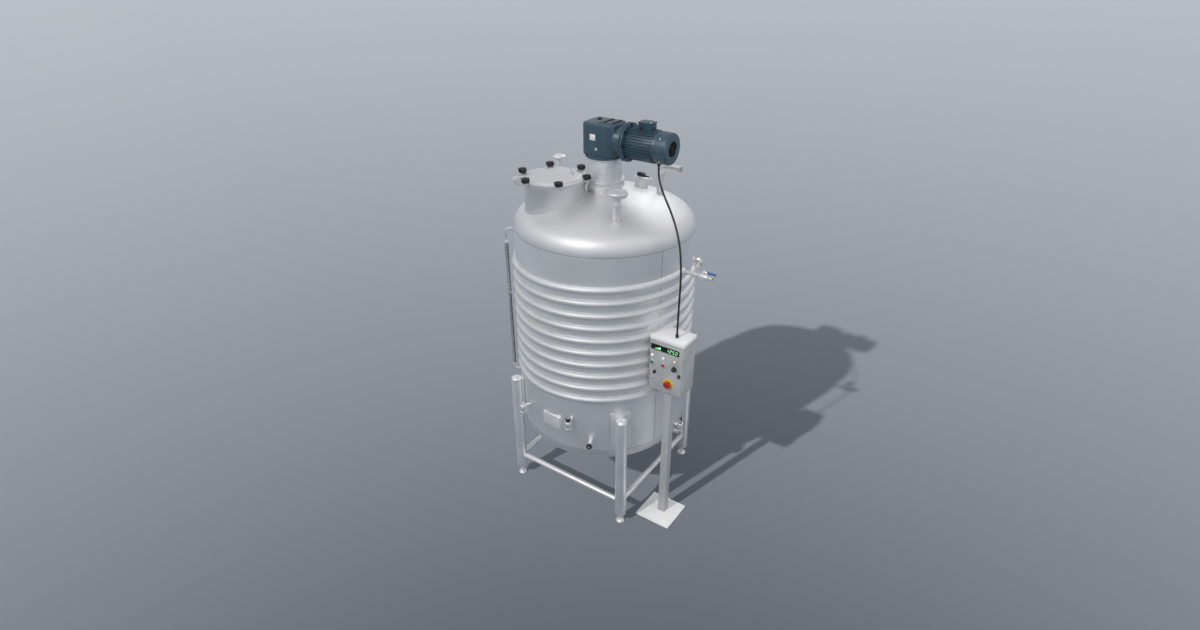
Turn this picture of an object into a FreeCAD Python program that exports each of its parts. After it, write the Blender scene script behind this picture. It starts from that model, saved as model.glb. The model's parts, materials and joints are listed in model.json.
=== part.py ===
"""Mixing tank: a jacketed stainless vessel on four legs, with a top agitator and a control stand.

Millimetres, +Z up. The tank axis is the working centre of every piece; at the end all the pieces
are moved together so that the origin lies on the floor under the middle of the whole machine.
Angles round the tank are measured from +X towards +Y. The front of the machine faces -Y.
"""
import FreeCAD, Part
import Sketcher
import math
import os

doc = FreeCAD.newDocument("MixingTank")
sheet = doc.addObject("Spreadsheet::Sheet", "Sizes")


class Size:
    """A length or angle that knows its number and the spreadsheet expression behind it."""

    def __init__(self, value, text):
        self.value = value
        self.text = text

    def __add__(self, other):
        other = sized(other)
        return Size(self.value + other.value, f"({self.text} + {other.text})")

    def __sub__(self, other):
        other = sized(other)
        return Size(self.value - other.value, f"({self.text} - {other.text})")

    def __mul__(self, other):
        other = sized(other)
        return Size(self.value * other.value, f"({self.text} * {other.text})")

    def __truediv__(self, other):
        other = sized(other)
        return Size(self.value / other.value, f"({self.text} / {other.text})")

    def __radd__(self, other):
        return sized(other) + self

    def __rsub__(self, other):
        return sized(other) - self

    def __rmul__(self, other):
        return sized(other) * self

    def __neg__(self):
        return sized(0) - self


def sized(value):
    return value if isinstance(value, Size) else Size(float(value), f"{float(value):g}")


def number(value):
    return sized(value).value


def root(value):
    value = sized(value)
    return Size(math.sqrt(value.value), f"sqrt({value.text})")


def cosine(angle):
    angle = sized(angle)
    return Size(math.cos(math.radians(angle.value)), f"cos({angle.text})")


def sine(angle):
    angle = sized(angle)
    return Size(math.sin(math.radians(angle.value)), f"sin({angle.text})")


rows = 0


def cell(name, value):
    """One driving dimension: a plain number in the sheet, under its own alias."""
    global rows
    rows += 1
    sheet.set(f"A{rows}", name)
    sheet.set(f"B{rows}", str(value))
    sheet.setAlias(f"B{rows}", name)
    return Size(float(value), f"Sizes.{name}")


# Vessel
shell_radius = cell("shell_radius", 675)
shell_wall = cell("shell_wall", 5)
shell_low = cell("shell_low", 685)
shell_length = cell("shell_length", 1618)
crown_radius = cell("crown_radius", 1350)
knuckle_radius = cell("knuckle_radius", 135)
shell_high = shell_low + shell_length
bend_inset = shell_radius - knuckle_radius
crown_drop = root((crown_radius - knuckle_radius) * (crown_radius - knuckle_radius)
                  - bend_inset * bend_inset)
dome_centre = shell_high - crown_drop
dish_centre = shell_low + crown_drop
dome_top = dome_centre + crown_radius
dish_bottom = dish_centre - crown_radius

# Half-pipe coil round the shell
coil_radius = cell("coil_radius", 28)
coil_wall = cell("coil_wall", 2.5)
coil_pitch = cell("coil_pitch", 100)
coil_turns = cell("coil_turns", 10)
coil_start = cell("coil_start", 392)
coil_low = shell_low + coil_start
coil_high = coil_low + coil_pitch * coil_turns
coil_crest = shell_radius + coil_radius

# Legs, braces and feet
leg_gap = cell("leg_gap", 53.3)
leg_radius = cell("leg_radius", 44.5)
leg_wall = cell("leg_wall", 3)
leg_low = cell("leg_low", 84)
leg_cap_rise = cell("leg_cap_rise", 24)
leg_plate = cell("leg_plate", 10)
pad_width = cell("pad_width", 160)
pad_start = cell("pad_start", 50)
pad_length = cell("pad_length", 300)
pad_above_leg = cell("pad_above_leg", 45)
pad_clear = cell("pad_clear", 0.4)
saddle_width = cell("saddle_width", 46)
brace_radius = cell("brace_radius", 21)
brace_wall = cell("brace_wall", 2)
brace_level = cell("brace_level", 210)
foot_radius = cell("foot_radius", 36)
foot_rim = cell("foot_rim", 9)
foot_rise = cell("foot_rise", 16)
foot_stem = cell("foot_stem", 12)
foot_nut = cell("foot_nut", 18)
foot_nut_depth = cell("foot_nut_depth", 12)
leg_distance = shell_radius + leg_gap
leg_reach = leg_distance / root(2)
pad_low = shell_low + pad_start
pad_high = pad_low + pad_length
leg_high = pad_high - pad_above_leg

# Manway on the dome
manway_angle = cell("manway_angle", 225)
manway_offset = cell("manway_offset", 366)
neck_radius = cell("neck_radius", 220)
neck_wall = cell("neck_wall", 5)
neck_lip = cell("neck_lip", 10)
neck_flange = cell("neck_flange", 12)
neck_rise = cell("neck_rise", 90.4)
gasket_width = cell("gasket_width", 12)
gasket_depth = cell("gasket_depth", 5)
gasket_inset = cell("gasket_inset", 2)
lid_lip = cell("lid_lip", 8)
lid_rim = cell("lid_rim", 12)
lid_dish_inset = cell("lid_dish_inset", 42)
lid_dish_rise = cell("lid_dish_rise", 22)
seat_gap = cell("seat_gap", 0.3)
hinge_gap = cell("hinge_gap", 42)
hinge_pin = cell("hinge_pin", 8)
hinge_knuckle = cell("hinge_knuckle", 14)
hinge_knuckle_length = cell("hinge_knuckle_length", 40)
hinge_ear = cell("hinge_ear", 12)
hinge_arm_length = cell("hinge_arm_length", 150)
fit = cell("fit", 0.05)
handle_inset = cell("handle_inset", 68)
handle_span = cell("handle_span", 78)
handle_rod = cell("handle_rod", 6)
handle_rise = cell("handle_rise", 42)
neck_flange_radius = neck_radius + neck_lip
neck_high = dome_top + neck_rise
lid_radius = neck_flange_radius + lid_lip
lid_dish_radius = lid_radius - lid_dish_inset
hinge_offset = lid_radius + hinge_gap
hinge_arm_reach = hinge_offset - hinge_arm_length
handle_offset = lid_dish_radius - handle_inset

# Six hand clamps on the lid
clamp_count = cell("clamp_count", 6)
clamp_gap = cell("clamp_gap", 10)
clamp_ear = cell("clamp_ear", 20)
clamp_stud = cell("clamp_stud", 6)
clamp_knob = cell("clamp_knob", 25)
clamp_lobe = cell("clamp_lobe", 8)
clamp_knob_rise = cell("clamp_knob_rise", 12)
clamp_knob_depth = cell("clamp_knob_depth", 30)
clamp_toe_length = cell("clamp_toe_length", 24)
clamp_toe_width = cell("clamp_toe_width", 12)
clamp_toe_depth = cell("clamp_toe_depth", 10)
clamp_offset = lid_radius + clamp_gap

# Agitator
pad_neck = cell("pad_neck", 125)
pad_lip = cell("pad_lip", 17)
pad_neck_wall = cell("pad_neck_wall", 25)
pad_rise = cell("pad_rise", 29.4)
pad_flange_depth = cell("pad_flange_depth", 22)
lantern_flange_depth = cell("lantern_flange_depth", 24)
lantern_radius = cell("lantern_radius", 124)
lantern_wall = cell("lantern_wall", 8)
lantern_lip = cell("lantern_lip", 8)
lantern_rim_depth = cell("lantern_rim_depth", 14)
lantern_height = cell("lantern_height", 184)
lantern_top_plate = cell("lantern_top_plate", 12)
seal_radius = cell("seal_radius", 62)
seal_height = cell("seal_height", 89)
seal_flange = cell("seal_flange", 14)
shaft_radius = cell("shaft_radius", 20)
shaft_start = cell("shaft_start", 54.6)
shaft_end = cell("shaft_end", 68)
coupling_radius = cell("coupling_radius", 48)
coupling_gap = cell("coupling_gap", 13)
coupling_length = cell("coupling_length", 66)
impeller_hub = cell("impeller_hub", 36)
impeller_reach = cell("impeller_reach", 225)
impeller_blade = cell("impeller_blade", 80)
blade_thickness = cell("blade_thickness", 8)
blade_pitch = cell("blade_pitch", 45)
blade_count = cell("blade_count", 3)
impeller_start = cell("impeller_start", 115)
impeller_rise = cell("impeller_rise", 700)
bush_wall = cell("bush_wall", 16)
bush_start = cell("bush_start", 50.6)
bush_length = cell("bush_length", 50)
bush_arm = cell("bush_arm", 120)
bush_foot = cell("bush_foot", 9)
pad_flange = pad_neck + pad_lip
pad_bore = pad_neck - pad_neck_wall
pad_flange_low = dome_top + pad_rise
pad_flange_high = pad_flange_low + pad_flange_depth
lantern_rim = lantern_radius + lantern_lip
lantern_high = pad_flange_high + lantern_height
seal_high = pad_flange_high + seal_height
coupling_low = seal_high + coupling_gap
coupling_high = coupling_low + coupling_length
shaft_low = dish_bottom + shaft_start
shaft_high = lantern_high + shaft_end
impeller_low = shell_low + impeller_start
bush_radius = shaft_radius + bush_wall
bush_low = dish_bottom + bush_start
bush_high = bush_low + bush_length

# Gear housing and motor
output_flange = cell("output_flange", 125)
output_flange_depth = cell("output_flange_depth", 22)
motor_rise = cell("motor_rise", 108)
housing_left = cell("housing_left", -132)
housing_right = cell("housing_right", 128)
housing_half = cell("housing_half", 105)
housing_height = cell("housing_height", 224)
housing_corner = cell("housing_corner", 42)
housing_edge = cell("housing_edge", 16)
housing_wall = cell("housing_wall", 12)
cover_far = cell("cover_far", 104)
cover_near = cell("cover_near", 18)
cover_half = cell("cover_half", 62)
cover_depth = cell("cover_depth", 5)
breather_radius = cell("breather_radius", 9)
breather_x = cell("breather_x", -22)
breather_y = cell("breather_y", -30)
breather_rise = cell("breather_rise", 18)
snout_radius = cell("snout_radius", 94)
snout_length = cell("snout_length", 60)
adaptor_disc = cell("adaptor_disc", 12)
adaptor_groove = cell("adaptor_groove", 7)
adaptor_radius = cell("adaptor_radius", 134)
adaptor_neck = cell("adaptor_neck", 108)
frame_length = cell("frame_length", 244)
frame_core = cell("frame_core", 100)
frame_wall = cell("frame_wall", 22)
rib_height = cell("rib_height", 13)
rib_width = cell("rib_width", 4)
rib_count = cell("rib_count", 36)
rear_ring = cell("rear_ring", 32)
end_shield = cell("end_shield", 9)
cover_step = cell("cover_step", 8)
fan_cover_length = cell("fan_cover_length", 84)
fan_cover_wall = cell("fan_cover_wall", 2.5)
cover_lap = cell("cover_lap", 4.5)
grille_radius = cell("grille_radius", 52)
grille_bar = cell("grille_bar", 5)
rotor_gap = cell("rotor_gap", 2)
rotor_shaft = cell("rotor_shaft", 14)
rotor_end_gap = cell("rotor_end_gap", 12)
fan_gap = cell("fan_gap", 16)
fan_depth = cell("fan_depth", 34)
fan_blades = cell("fan_blades", 6)
terminal_start = cell("terminal_start", 78)
terminal_length = cell("terminal_length", 98)
terminal_half = cell("terminal_half", 38)
terminal_rise = cell("terminal_rise", 150)
terminal_lid = cell("terminal_lid", 8)
terminal_overhang = cell("terminal_overhang", 4)
housing_low = lantern_high + output_flange_depth
housing_high = housing_low + housing_height
motor_level = housing_low + motor_rise
adaptor_left = housing_right + snout_length
adaptor_right = adaptor_left + adaptor_disc * 2 + adaptor_groove
frame_right = adaptor_right + frame_length
frame_bore = frame_core - frame_wall
rib_radius = frame_core + rib_height
fan_cover_radius = frame_core + cover_step
cover_right = frame_right + fan_cover_length
rotor_radius = frame_bore - rotor_gap
fan_radius = fan_cover_radius - fan_gap
terminal_left = adaptor_right + terminal_start
terminal_high = motor_level + terminal_rise

# Nozzles on the dome
front_angle = cell("front_angle", -45)
front_offset = cell("front_offset", 448)
front_radius = cell("front_radius", 29)
front_lip = cell("front_lip", 7)
front_rise = cell("front_rise", 29.4)
front_cap_start = cell("front_cap_start", 52)
front_cap_depth = cell("front_cap_depth", 36)
front_cap_radius = cell("front_cap_radius", 72)
pipe_wall = cell("pipe_wall", 1.5)
ferrule_depth = cell("ferrule_depth", 6)
clamp_ring_wall = cell("clamp_ring_wall", 6)
clamp_ring_depth = cell("clamp_ring_depth", 26)
wing_bolt = cell("wing_bolt", 4)
wing_hub = cell("wing_hub", 9)
wing_span = cell("wing_span", 38)
lamp_angle = cell("lamp_angle", 60)
lamp_offset = cell("lamp_offset", 300)
lamp_stub = cell("lamp_stub", 50)
lamp_lip = cell("lamp_lip", 14)
lamp_rise = cell("lamp_rise", 34)
lamp_flange_depth = cell("lamp_flange_depth", 44)
lamp_head_radius = cell("lamp_head_radius", 33)
lamp_head_depth = cell("lamp_head_depth", 24)
vent_angle = cell("vent_angle", 167.6)
vent_inset = cell("vent_inset", 35)
vent_radius = cell("vent_radius", 26)
vent_rise = cell("vent_rise", 119.4)
vent_cap_radius = cell("vent_cap_radius", 50)
vent_cap_rim = cell("vent_cap_rim", 10)
vent_cap_rise = cell("vent_cap_rise", 18)
wash_angle = cell("wash_angle", 43)
wash_offset = cell("wash_offset", 417)
wash_radius = cell("wash_radius", 26.5)
wash_rise = cell("wash_rise", 141.4)
wash_depth = cell("wash_depth", 144.6)
wash_bend = cell("wash_bend", 55)
wash_arm = cell("wash_arm", 161)
wash_arm_angle = cell("wash_arm_angle", 0)
spray_ball = cell("spray_ball", 36)
ferrule_lip = cell("ferrule_lip", 5.5)
front_ferrule = front_radius + front_lip
front_split = dome_top + front_rise
front_cap_low = front_split + front_cap_start
front_cap_high = front_cap_low + front_cap_depth
clamp_ring = front_ferrule + clamp_ring_wall
lamp_flange = lamp_stub + lamp_lip
vent_offset = bend_inset - vent_inset
vent_cap_low = dome_top + vent_rise
wash_level = dome_top + wash_rise
wash_low = dome_top - wash_depth

# Fittings on the shell
gauge_angle = cell("gauge_angle", 214.8)
gauge_gap = cell("gauge_gap", 67)
gauge_pipe = cell("gauge_pipe", 8)
gauge_bend = cell("gauge_bend", 26)
gauge_top = cell("gauge_top", 51)
gauge_start = cell("gauge_start", 325)
sight_tube = cell("sight_tube", 14)
sight_top = cell("sight_top", 153)
sight_start = cell("sight_start", 361)
guard_radius = cell("guard_radius", 11)
guard_length = cell("guard_length", 682)
rail_collar = cell("rail_collar", 14)
plate_angle = cell("plate_angle", 268)
plate_width = cell("plate_width", 172)
plate_height = cell("plate_height", 113)
plate_start = cell("plate_start", 194)
plate_stand = cell("plate_stand", 9)
inlet_pipe = cell("inlet_pipe", 13.5)
inlet_wall = cell("inlet_wall", 3)
valve_gap = cell("valve_gap", 109)
valve_length = cell("valve_length", 62)
valve_radius = cell("valve_radius", 22)
valve_stem = cell("valve_stem", 6)
valve_stem_rise = cell("valve_stem_rise", 40)
inlet_tail = cell("inlet_tail", 38)
lever_hub = cell("lever_hub", 12)
lever_depth = cell("lever_depth", 6)
lever_reach = cell("lever_reach", 92)
lever_width = cell("lever_width", 18)
dial_gap = cell("dial_gap", 85)
dial_rise = cell("dial_rise", 96)
dial_radius = cell("dial_radius", 32)
dial_depth = cell("dial_depth", 28)
dial_recess = cell("dial_recess", 7)
dial_rim = cell("dial_rim", 3)
needle_length = cell("needle_length", 20)
needle_width = cell("needle_width", 2.4)
needle_pin = cell("needle_pin", 1.5)
outlet_gap = cell("outlet_gap", 67)
drain_angle = cell("drain_angle", 3)
drain_start = cell("drain_start", 15)
drain_gap = cell("drain_gap", 47)
drain_body = cell("drain_body", 26)
drain_high = cell("drain_high", 26)
drain_drop = cell("drain_drop", 44)
sample_pipe = cell("sample_pipe", 12)
sample_body = cell("sample_body", 26)
sample_knob_radius = cell("sample_knob_radius", 19)
sample_knob_depth = cell("sample_knob_depth", 24)
sample_stem = cell("sample_stem", 5)
sample_gap = cell("sample_gap", 63)
middle_angle = cell("middle_angle", -77)
middle_start = cell("middle_start", 277)
left_angle = cell("left_angle", -117)
left_start = cell("left_start", 187)
right_angle = cell("right_angle", -64)
right_start = cell("right_start", 105)
right_knob_radius = cell("right_knob_radius", 22)
outlet_radius = cell("outlet_radius", 26.5)
outlet_drop = cell("outlet_drop", 123.4)
gauge_offset = shell_radius + gauge_gap
gauge_high = shell_high - gauge_top
gauge_low = shell_low + gauge_start
sight_high = shell_high - sight_top
sight_low = shell_low + sight_start
sight_mid = sight_low + guard_length
plate_level = shell_low + plate_start
valve_start = coil_crest + valve_gap
inlet_reach = valve_start + valve_length + inlet_tail
dial_place = coil_crest + dial_gap
outlet_reach = coil_crest + outlet_gap
drain_level = shell_low + drain_start
drain_reach = shell_radius + drain_gap
sample_offset = shell_radius + sample_gap
middle_level = shell_low + middle_start
left_level = shell_low + left_start
right_level = shell_low + right_start
ferrule_radius = outlet_radius + ferrule_lip
outlet_low = dish_bottom - outlet_drop

# Control stand
box_front = cell("box_front", -326)
box_depth = cell("box_depth", 166)
box_width = cell("box_width", 266)
box_cut = cell("box_cut", 74)
box_gap = cell("box_gap", 7)
box_low = cell("box_low", 1260)
box_height = cell("box_height", 415)
box_wall = cell("box_wall", 2)
stand_plate = cell("stand_plate", 300)
stand_plate_depth = cell("stand_plate_depth", 10)
stand_inset_x = cell("stand_inset_x", 98)
stand_inset_y = cell("stand_inset_y", 96)
post_inset_x = cell("post_inset_x", 106)
post_inset_y = cell("post_inset_y", 116)
post_width = cell("post_width", 60)
post_wall = cell("post_wall", 3)
lid_thickness = cell("lid_thickness", 30)
lid_overhang = cell("lid_overhang", 3)
door_depth = cell("door_depth", 14)
door_sheet = cell("door_sheet", 3)
door_gap = cell("door_gap", 0.5)
door_barrel = cell("door_barrel", 6)
door_pin = cell("door_pin", 3)
barrel_length = cell("barrel_length", 30)
barrel_inset = cell("barrel_inset", 50)
display_inset = cell("display_inset", 8)
display_width = cell("display_width", 226)
display_drop = cell("display_drop", 78)
display_height = cell("display_height", 44)
display_depth = cell("display_depth", 4)
column_inset = cell("column_inset", 20)
column_pitch = cell("column_pitch", 91)
lamp_drop = cell("lamp_drop", 129)
button_drop = cell("button_drop", 189)
lamp_radius = cell("lamp_radius", 11)
lamp_depth = cell("lamp_depth", 12)
button_radius = cell("button_radius", 11)
button_height = cell("button_height", 10)
bezel_radius = cell("bezel_radius", 15)
bezel_depth = cell("bezel_depth", 4)
selector_radius = cell("selector_radius", 12)
selector_height = cell("selector_height", 20)
selector_left_inset = cell("selector_left_inset", 44)
selector_left_drop = cell("selector_left_drop", 263)
selector_right_inset = cell("selector_right_inset", 24)
selector_right_drop = cell("selector_right_drop", 235)
speed_radius = cell("speed_radius", 19)
speed_height = cell("speed_height", 22)
spindle = cell("spindle", 4)
estop_inset = cell("estop_inset", 158)
estop_rise = cell("estop_rise", 87)
estop_radius = cell("estop_radius", 27)
estop_height = cell("estop_height", 34)
estop_head = cell("estop_head", 14)
estop_stem = cell("estop_stem", 12)
collar_radius = cell("collar_radius", 38)
collar_depth = cell("collar_depth", 3)
box_side = root(box_cut * box_cut + box_depth * box_depth)
box_left = ((coil_crest + box_gap) * box_side + box_front * box_cut) / box_depth
box_right = box_left + box_width
box_back = box_front + box_depth
box_high = box_low + box_height
stand_centre_x = box_left + stand_inset_x
stand_centre_y = box_front + stand_inset_y
post_x = box_left + post_inset_x
post_y = box_front + post_inset_y
display_left = box_left + display_inset
display_low = box_high - display_drop
column_left = box_left + column_inset
lamp_row = box_high - lamp_drop
button_row = box_high - button_drop
selector_left_x = box_left + selector_left_inset
selector_left_z = box_high - selector_left_drop
selector_right_x = box_right - selector_right_inset
selector_right_z = box_high - selector_right_drop
estop_x = box_left + estop_inset
estop_z = box_low + estop_rise

# Motor cable and its two glands
cable_radius = cell("cable_radius", 7)
gland_radius = cell("gland_radius", 12)
gland_length = cell("gland_length", 28)
gland_inset_x = cell("gland_inset_x", 173)
gland_inset_y = cell("gland_inset_y", 52)
box_gland_x = box_left + gland_inset_x
box_gland_y = box_front + gland_inset_y


# Building blocks

made = 0


def fresh(kind, name):
    """A new document object with a name of its own."""
    global made
    made += 1
    return doc.addObject(kind, f"{name}_{made}")


def bind(thing, path, value):
    """Tie one property to its expression."""
    thing.setExpression(path, sized(value).text)


def seat(thing, x=0, y=0, z=0, rotation=None):
    """Place an object: its base point follows the sheet, its turn is fixed."""
    thing.Placement = FreeCAD.Placement(FreeCAD.Vector(), rotation or FreeCAD.Rotation())
    bind(thing, "Placement.Base.x", x)
    bind(thing, "Placement.Base.y", y)
    bind(thing, "Placement.Base.z", z)
    return thing


ALONG = {
    "z": FreeCAD.Rotation(),
    "x": FreeCAD.Rotation(FreeCAD.Vector(0, 1, 0), 90),
    "y": FreeCAD.Rotation(FreeCAD.Vector(1, 0, 0), -90),
}


def rod(name, radius, low, high, x=0, y=0, z=0, along="z"):
    """A cylinder from low to high along one axis."""
    thing = fresh("Part::Cylinder", name)
    bind(thing, "Radius", radius)
    bind(thing, "Height", sized(high) - low)
    base = {"x": x, "y": y, "z": z}
    base[along] = low
    return seat(thing, base["x"], base["y"], base["z"], ALONG[along])


def block(name, x0, x1, y0, y1, z0, z1):
    """A box between two opposite corners."""
    thing = fresh("Part::Box", name)
    bind(thing, "Length", sized(x1) - x0)
    bind(thing, "Width", sized(y1) - y0)
    bind(thing, "Height", sized(z1) - z0)
    return seat(thing, x0, y0, z0)


def cut(name, base, *tools):
    thing = fresh("Part::Cut", name)
    thing.Base = base
    thing.Tool = tools[0] if len(tools) == 1 else fuse(name + "_tools", *tools)
    return thing


def fuse(name, *pieces):
    thing = fresh("Part::MultiFuse", name)
    thing.Shapes = list(pieces)
    return thing


def common(name, *pieces):
    thing = fresh("Part::MultiCommon", name)
    thing.Shapes = list(pieces)
    return thing


def group(name, *pieces):
    """Separate solids kept side by side."""
    thing = fresh("Part::Compound", name)
    thing.Links = list(pieces)
    return thing


def tube(name, outer, inner, low, high, x=0, y=0, z=0, along="z"):
    bore = rod(name + "_bore", inner, low, high, x, y, z, along)
    return cut(name, rod(name + "_outer", outer, low, high, x, y, z, along), bore)


def cone(name, low_radius, high_radius, low, high, x=0, y=0, z=0, along="z"):
    thing = fresh("Part::Cone", name)
    bind(thing, "Radius1", low_radius)
    bind(thing, "Radius2", high_radius)
    bind(thing, "Height", sized(high) - low)
    base = {"x": x, "y": y, "z": z}
    base[along] = low
    return seat(thing, base["x"], base["y"], base["z"], ALONG[along])


def dome(name, radius, rise, x=0, y=0, z=0):
    """The upper half of a flattened ball."""
    thing = fresh("Part::Ellipsoid", name)
    bind(thing, "Radius1", rise)
    bind(thing, "Radius2", radius)
    bind(thing, "Radius3", radius)
    thing.Angle1 = 0
    thing.Angle2 = 90
    return seat(thing, x, y, z)


def ball(name, radius, x=0, y=0, z=0):
    thing = fresh("Part::Sphere", name)
    bind(thing, "Radius", radius)
    return seat(thing, x, y, z)


def turned_about(thing, angle, x=0, y=0, z=0, axis=(0, 0, 1)):
    """The same piece, built at the origin, turned about an axis and then moved."""
    holder = group("turned", thing)
    return seat(holder, x, y, z, FreeCAD.Rotation(FreeCAD.Vector(*axis), number(angle)))


def sketch_on(body, plane_role, name):
    """A sketch on one of the body's own origin planes."""
    sketch = body.newObject("Sketcher::SketchObject", name)
    for feature in body.Origin.OriginFeatures:
        if feature.Role == plane_role:
            sketch.AttachmentSupport = [(feature, "")]
    sketch.MapMode = "FlatFace"
    return sketch


def outline(sketch, points):
    """A closed outline whose every corner is dimensioned from the sketch's origin."""
    spots = [FreeCAD.Vector(number(x), number(y), 0) for x, y in points]
    count = len(points)
    for index in range(count):
        sketch.addGeometry(Part.LineSegment(spots[index], spots[(index + 1) % count]))
    for index in range(count):
        sketch.addConstraint(Sketcher.Constraint("Coincident", index, 2, (index + 1) % count, 1))
    for index, (x, y) in enumerate(points):
        for kind, value in (("DistanceX", x), ("DistanceY", y)):
            rule = Sketcher.Constraint(kind, -1, 1, index, 1, number(value))
            place = sketch.addConstraint(rule)
            bind(sketch, f"Constraints[{place}]", value)


def turned(name, points):
    """A body of revolution about Z, from an outline of (radius, height) corners."""
    body = fresh("PartDesign::Body", name)
    sketch = sketch_on(body, "XZ_Plane", f"{body.Name}_profile")
    outline(sketch, points)
    feature = body.newObject("PartDesign::Revolution", f"{body.Name}_turn")
    feature.Profile = sketch
    feature.ReferenceAxis = (sketch, ["V_Axis"])
    feature.Angle = 360
    body.Tip = feature
    return body


def padded(name, points, depth):
    """A prism standing on the XY plane."""
    body = fresh("PartDesign::Body", name)
    sketch = sketch_on(body, "XY_Plane", f"{body.Name}_profile")
    outline(sketch, points)
    feature = body.newObject("PartDesign::Pad", f"{body.Name}_pad")
    feature.Profile = sketch
    bind(feature, "Length", depth)
    body.Tip = feature
    return body


def solid(name, shape):
    """A shape worked out in code from the same sizes."""
    thing = fresh("Part::Feature", name)
    thing.Shape = shape
    return thing


nodes = {}


def node(name, thing, angle=0):
    """Name a finished piece and, where it sits round the tank, its angle."""
    holder = group(name, thing)
    holder.Label = name
    nodes[name] = (holder, number(angle))


# Vessel

def head_profile(inset):
    """One side of a dished head, from the rim to the crown, at a depth of inset inside its skin."""
    knuckle = number(knuckle_radius) - inset
    crown = number(crown_radius) - inset
    drop = number(crown_drop)
    lean = math.atan2(number(bend_inset), drop)
    rim = FreeCAD.Vector(number(shell_radius) - inset, 0, 0)
    middle = (math.pi / 2 + lean) / 2
    bend = FreeCAD.Vector(number(bend_inset) + knuckle * math.sin(middle), 0, knuckle * math.cos(middle))
    join = FreeCAD.Vector(crown * math.sin(lean), 0, crown * math.cos(lean) - drop)
    half = FreeCAD.Vector(crown * math.sin(lean / 2), 0, crown * math.cos(lean / 2) - drop)
    top = FreeCAD.Vector(0, 0, crown - drop)
    return rim, bend, join, half, top


def head_shape():
    """A dished head as a solid of revolution, rim on z = 0 and crown upwards."""
    outer = head_profile(0)
    inner = head_profile(number(shell_wall))
    edges = [
        Part.Arc(outer[0], outer[1], outer[2]).toShape(),
        Part.Arc(outer[2], outer[3], outer[4]).toShape(),
        Part.LineSegment(outer[4], inner[4]).toShape(),
        Part.Arc(inner[4], inner[3], inner[2]).toShape(),
        Part.Arc(inner[2], inner[1], inner[0]).toShape(),
        Part.LineSegment(inner[0], outer[0]).toShape(),
    ]
    face = Part.Face(Part.Wire(edges))
    return face.revolve(FreeCAD.Vector(), FreeCAD.Vector(0, 0, 1), 360)


def radial_hole(radius, angle, level):
    """A drill through the shell wall, square to it."""
    drill = rod("drill", radius, shell_radius - 40, shell_radius + 40, 0, 0, level, "x")
    return turned_about(drill, angle)


def make_shell():
    wall = tube("shell", shell_radius, shell_radius - shell_wall, shell_low, shell_high)
    holes = [
        radial_hole(sample_pipe, middle_angle, middle_level),
        radial_hole(sample_pipe, left_angle, left_level),
        radial_hole(sample_pipe, right_angle, right_level),
        radial_hole(sample_pipe, drain_angle, drain_level),
        radial_hole(gauge_pipe, gauge_angle, gauge_high),
        radial_hole(gauge_pipe, gauge_angle, gauge_low),
    ]
    node("tank_shell", cut("shell_drilled", wall, *holes))


def on_dome(offset, angle):
    """X and Y of a place on the dome, from its distance and angle."""
    return offset * cosine(angle), offset * sine(angle)


manway_x, manway_y = on_dome(manway_offset, manway_angle)
front_x, front_y = on_dome(front_offset, front_angle)
lamp_x, lamp_y = on_dome(lamp_offset, lamp_angle)
vent_x, vent_y = on_dome(vent_offset, vent_angle)
wash_x, wash_y = on_dome(wash_offset, wash_angle)


def dome_height(offset):
    """Height of the dome's outer skin at a distance from the axis, on its crown."""
    return dome_centre + root(crown_radius * crown_radius - offset * offset)


lamp_lean = math.degrees(math.asin(number(lamp_offset) / number(crown_radius)))


def lamp_frame(piece):
    """Stand a piece, built on the Z axis, square on the dome at the lamp's place."""
    spin = FreeCAD.Rotation(FreeCAD.Vector(0, 0, 1), number(lamp_angle))
    tilt = FreeCAD.Rotation(FreeCAD.Vector(0, 1, 0), lamp_lean)
    return seat(group("lamp_frame", piece), lamp_x, lamp_y, dome_height(lamp_offset), spin * tilt)


def make_heads():
    top = seat(solid("dome_skin", head_shape()), 0, 0, shell_high)
    above = shell_high + crown_radius
    openings = [
        rod("manway_hole", neck_radius, shell_high, above, manway_x, manway_y),
        rod("front_hole", front_radius, shell_high, above, front_x, front_y),
        rod("vent_hole", vent_radius, shell_high, above, vent_x, vent_y),
        rod("wash_hole", wash_radius, shell_high, above, wash_x, wash_y),
        rod("pad_hole", pad_neck, shell_high, above),
        lamp_frame(rod("lamp_hole", lamp_stub, -60, 60)),
    ]
    node("top_head", cut("dome_pierced", top, *openings))
    flip = FreeCAD.Rotation(FreeCAD.Vector(1, 0, 0), 180)
    bottom = seat(solid("dish_skin", head_shape()), 0, 0, shell_low, flip)
    hole = rod("outlet_hole", outlet_radius, outlet_low, shell_low)
    pipe = tube("outlet_pipe", outlet_radius, outlet_radius - pipe_wall, outlet_low, dish_bottom + shell_wall)
    ferrule = tube("outlet_ferrule", ferrule_radius, outlet_radius - pipe_wall, outlet_low,
                   outlet_low + ferrule_depth)
    node("bottom_head", fuse("dish", cut("dish_pierced", bottom, hole), pipe, ferrule))


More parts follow.
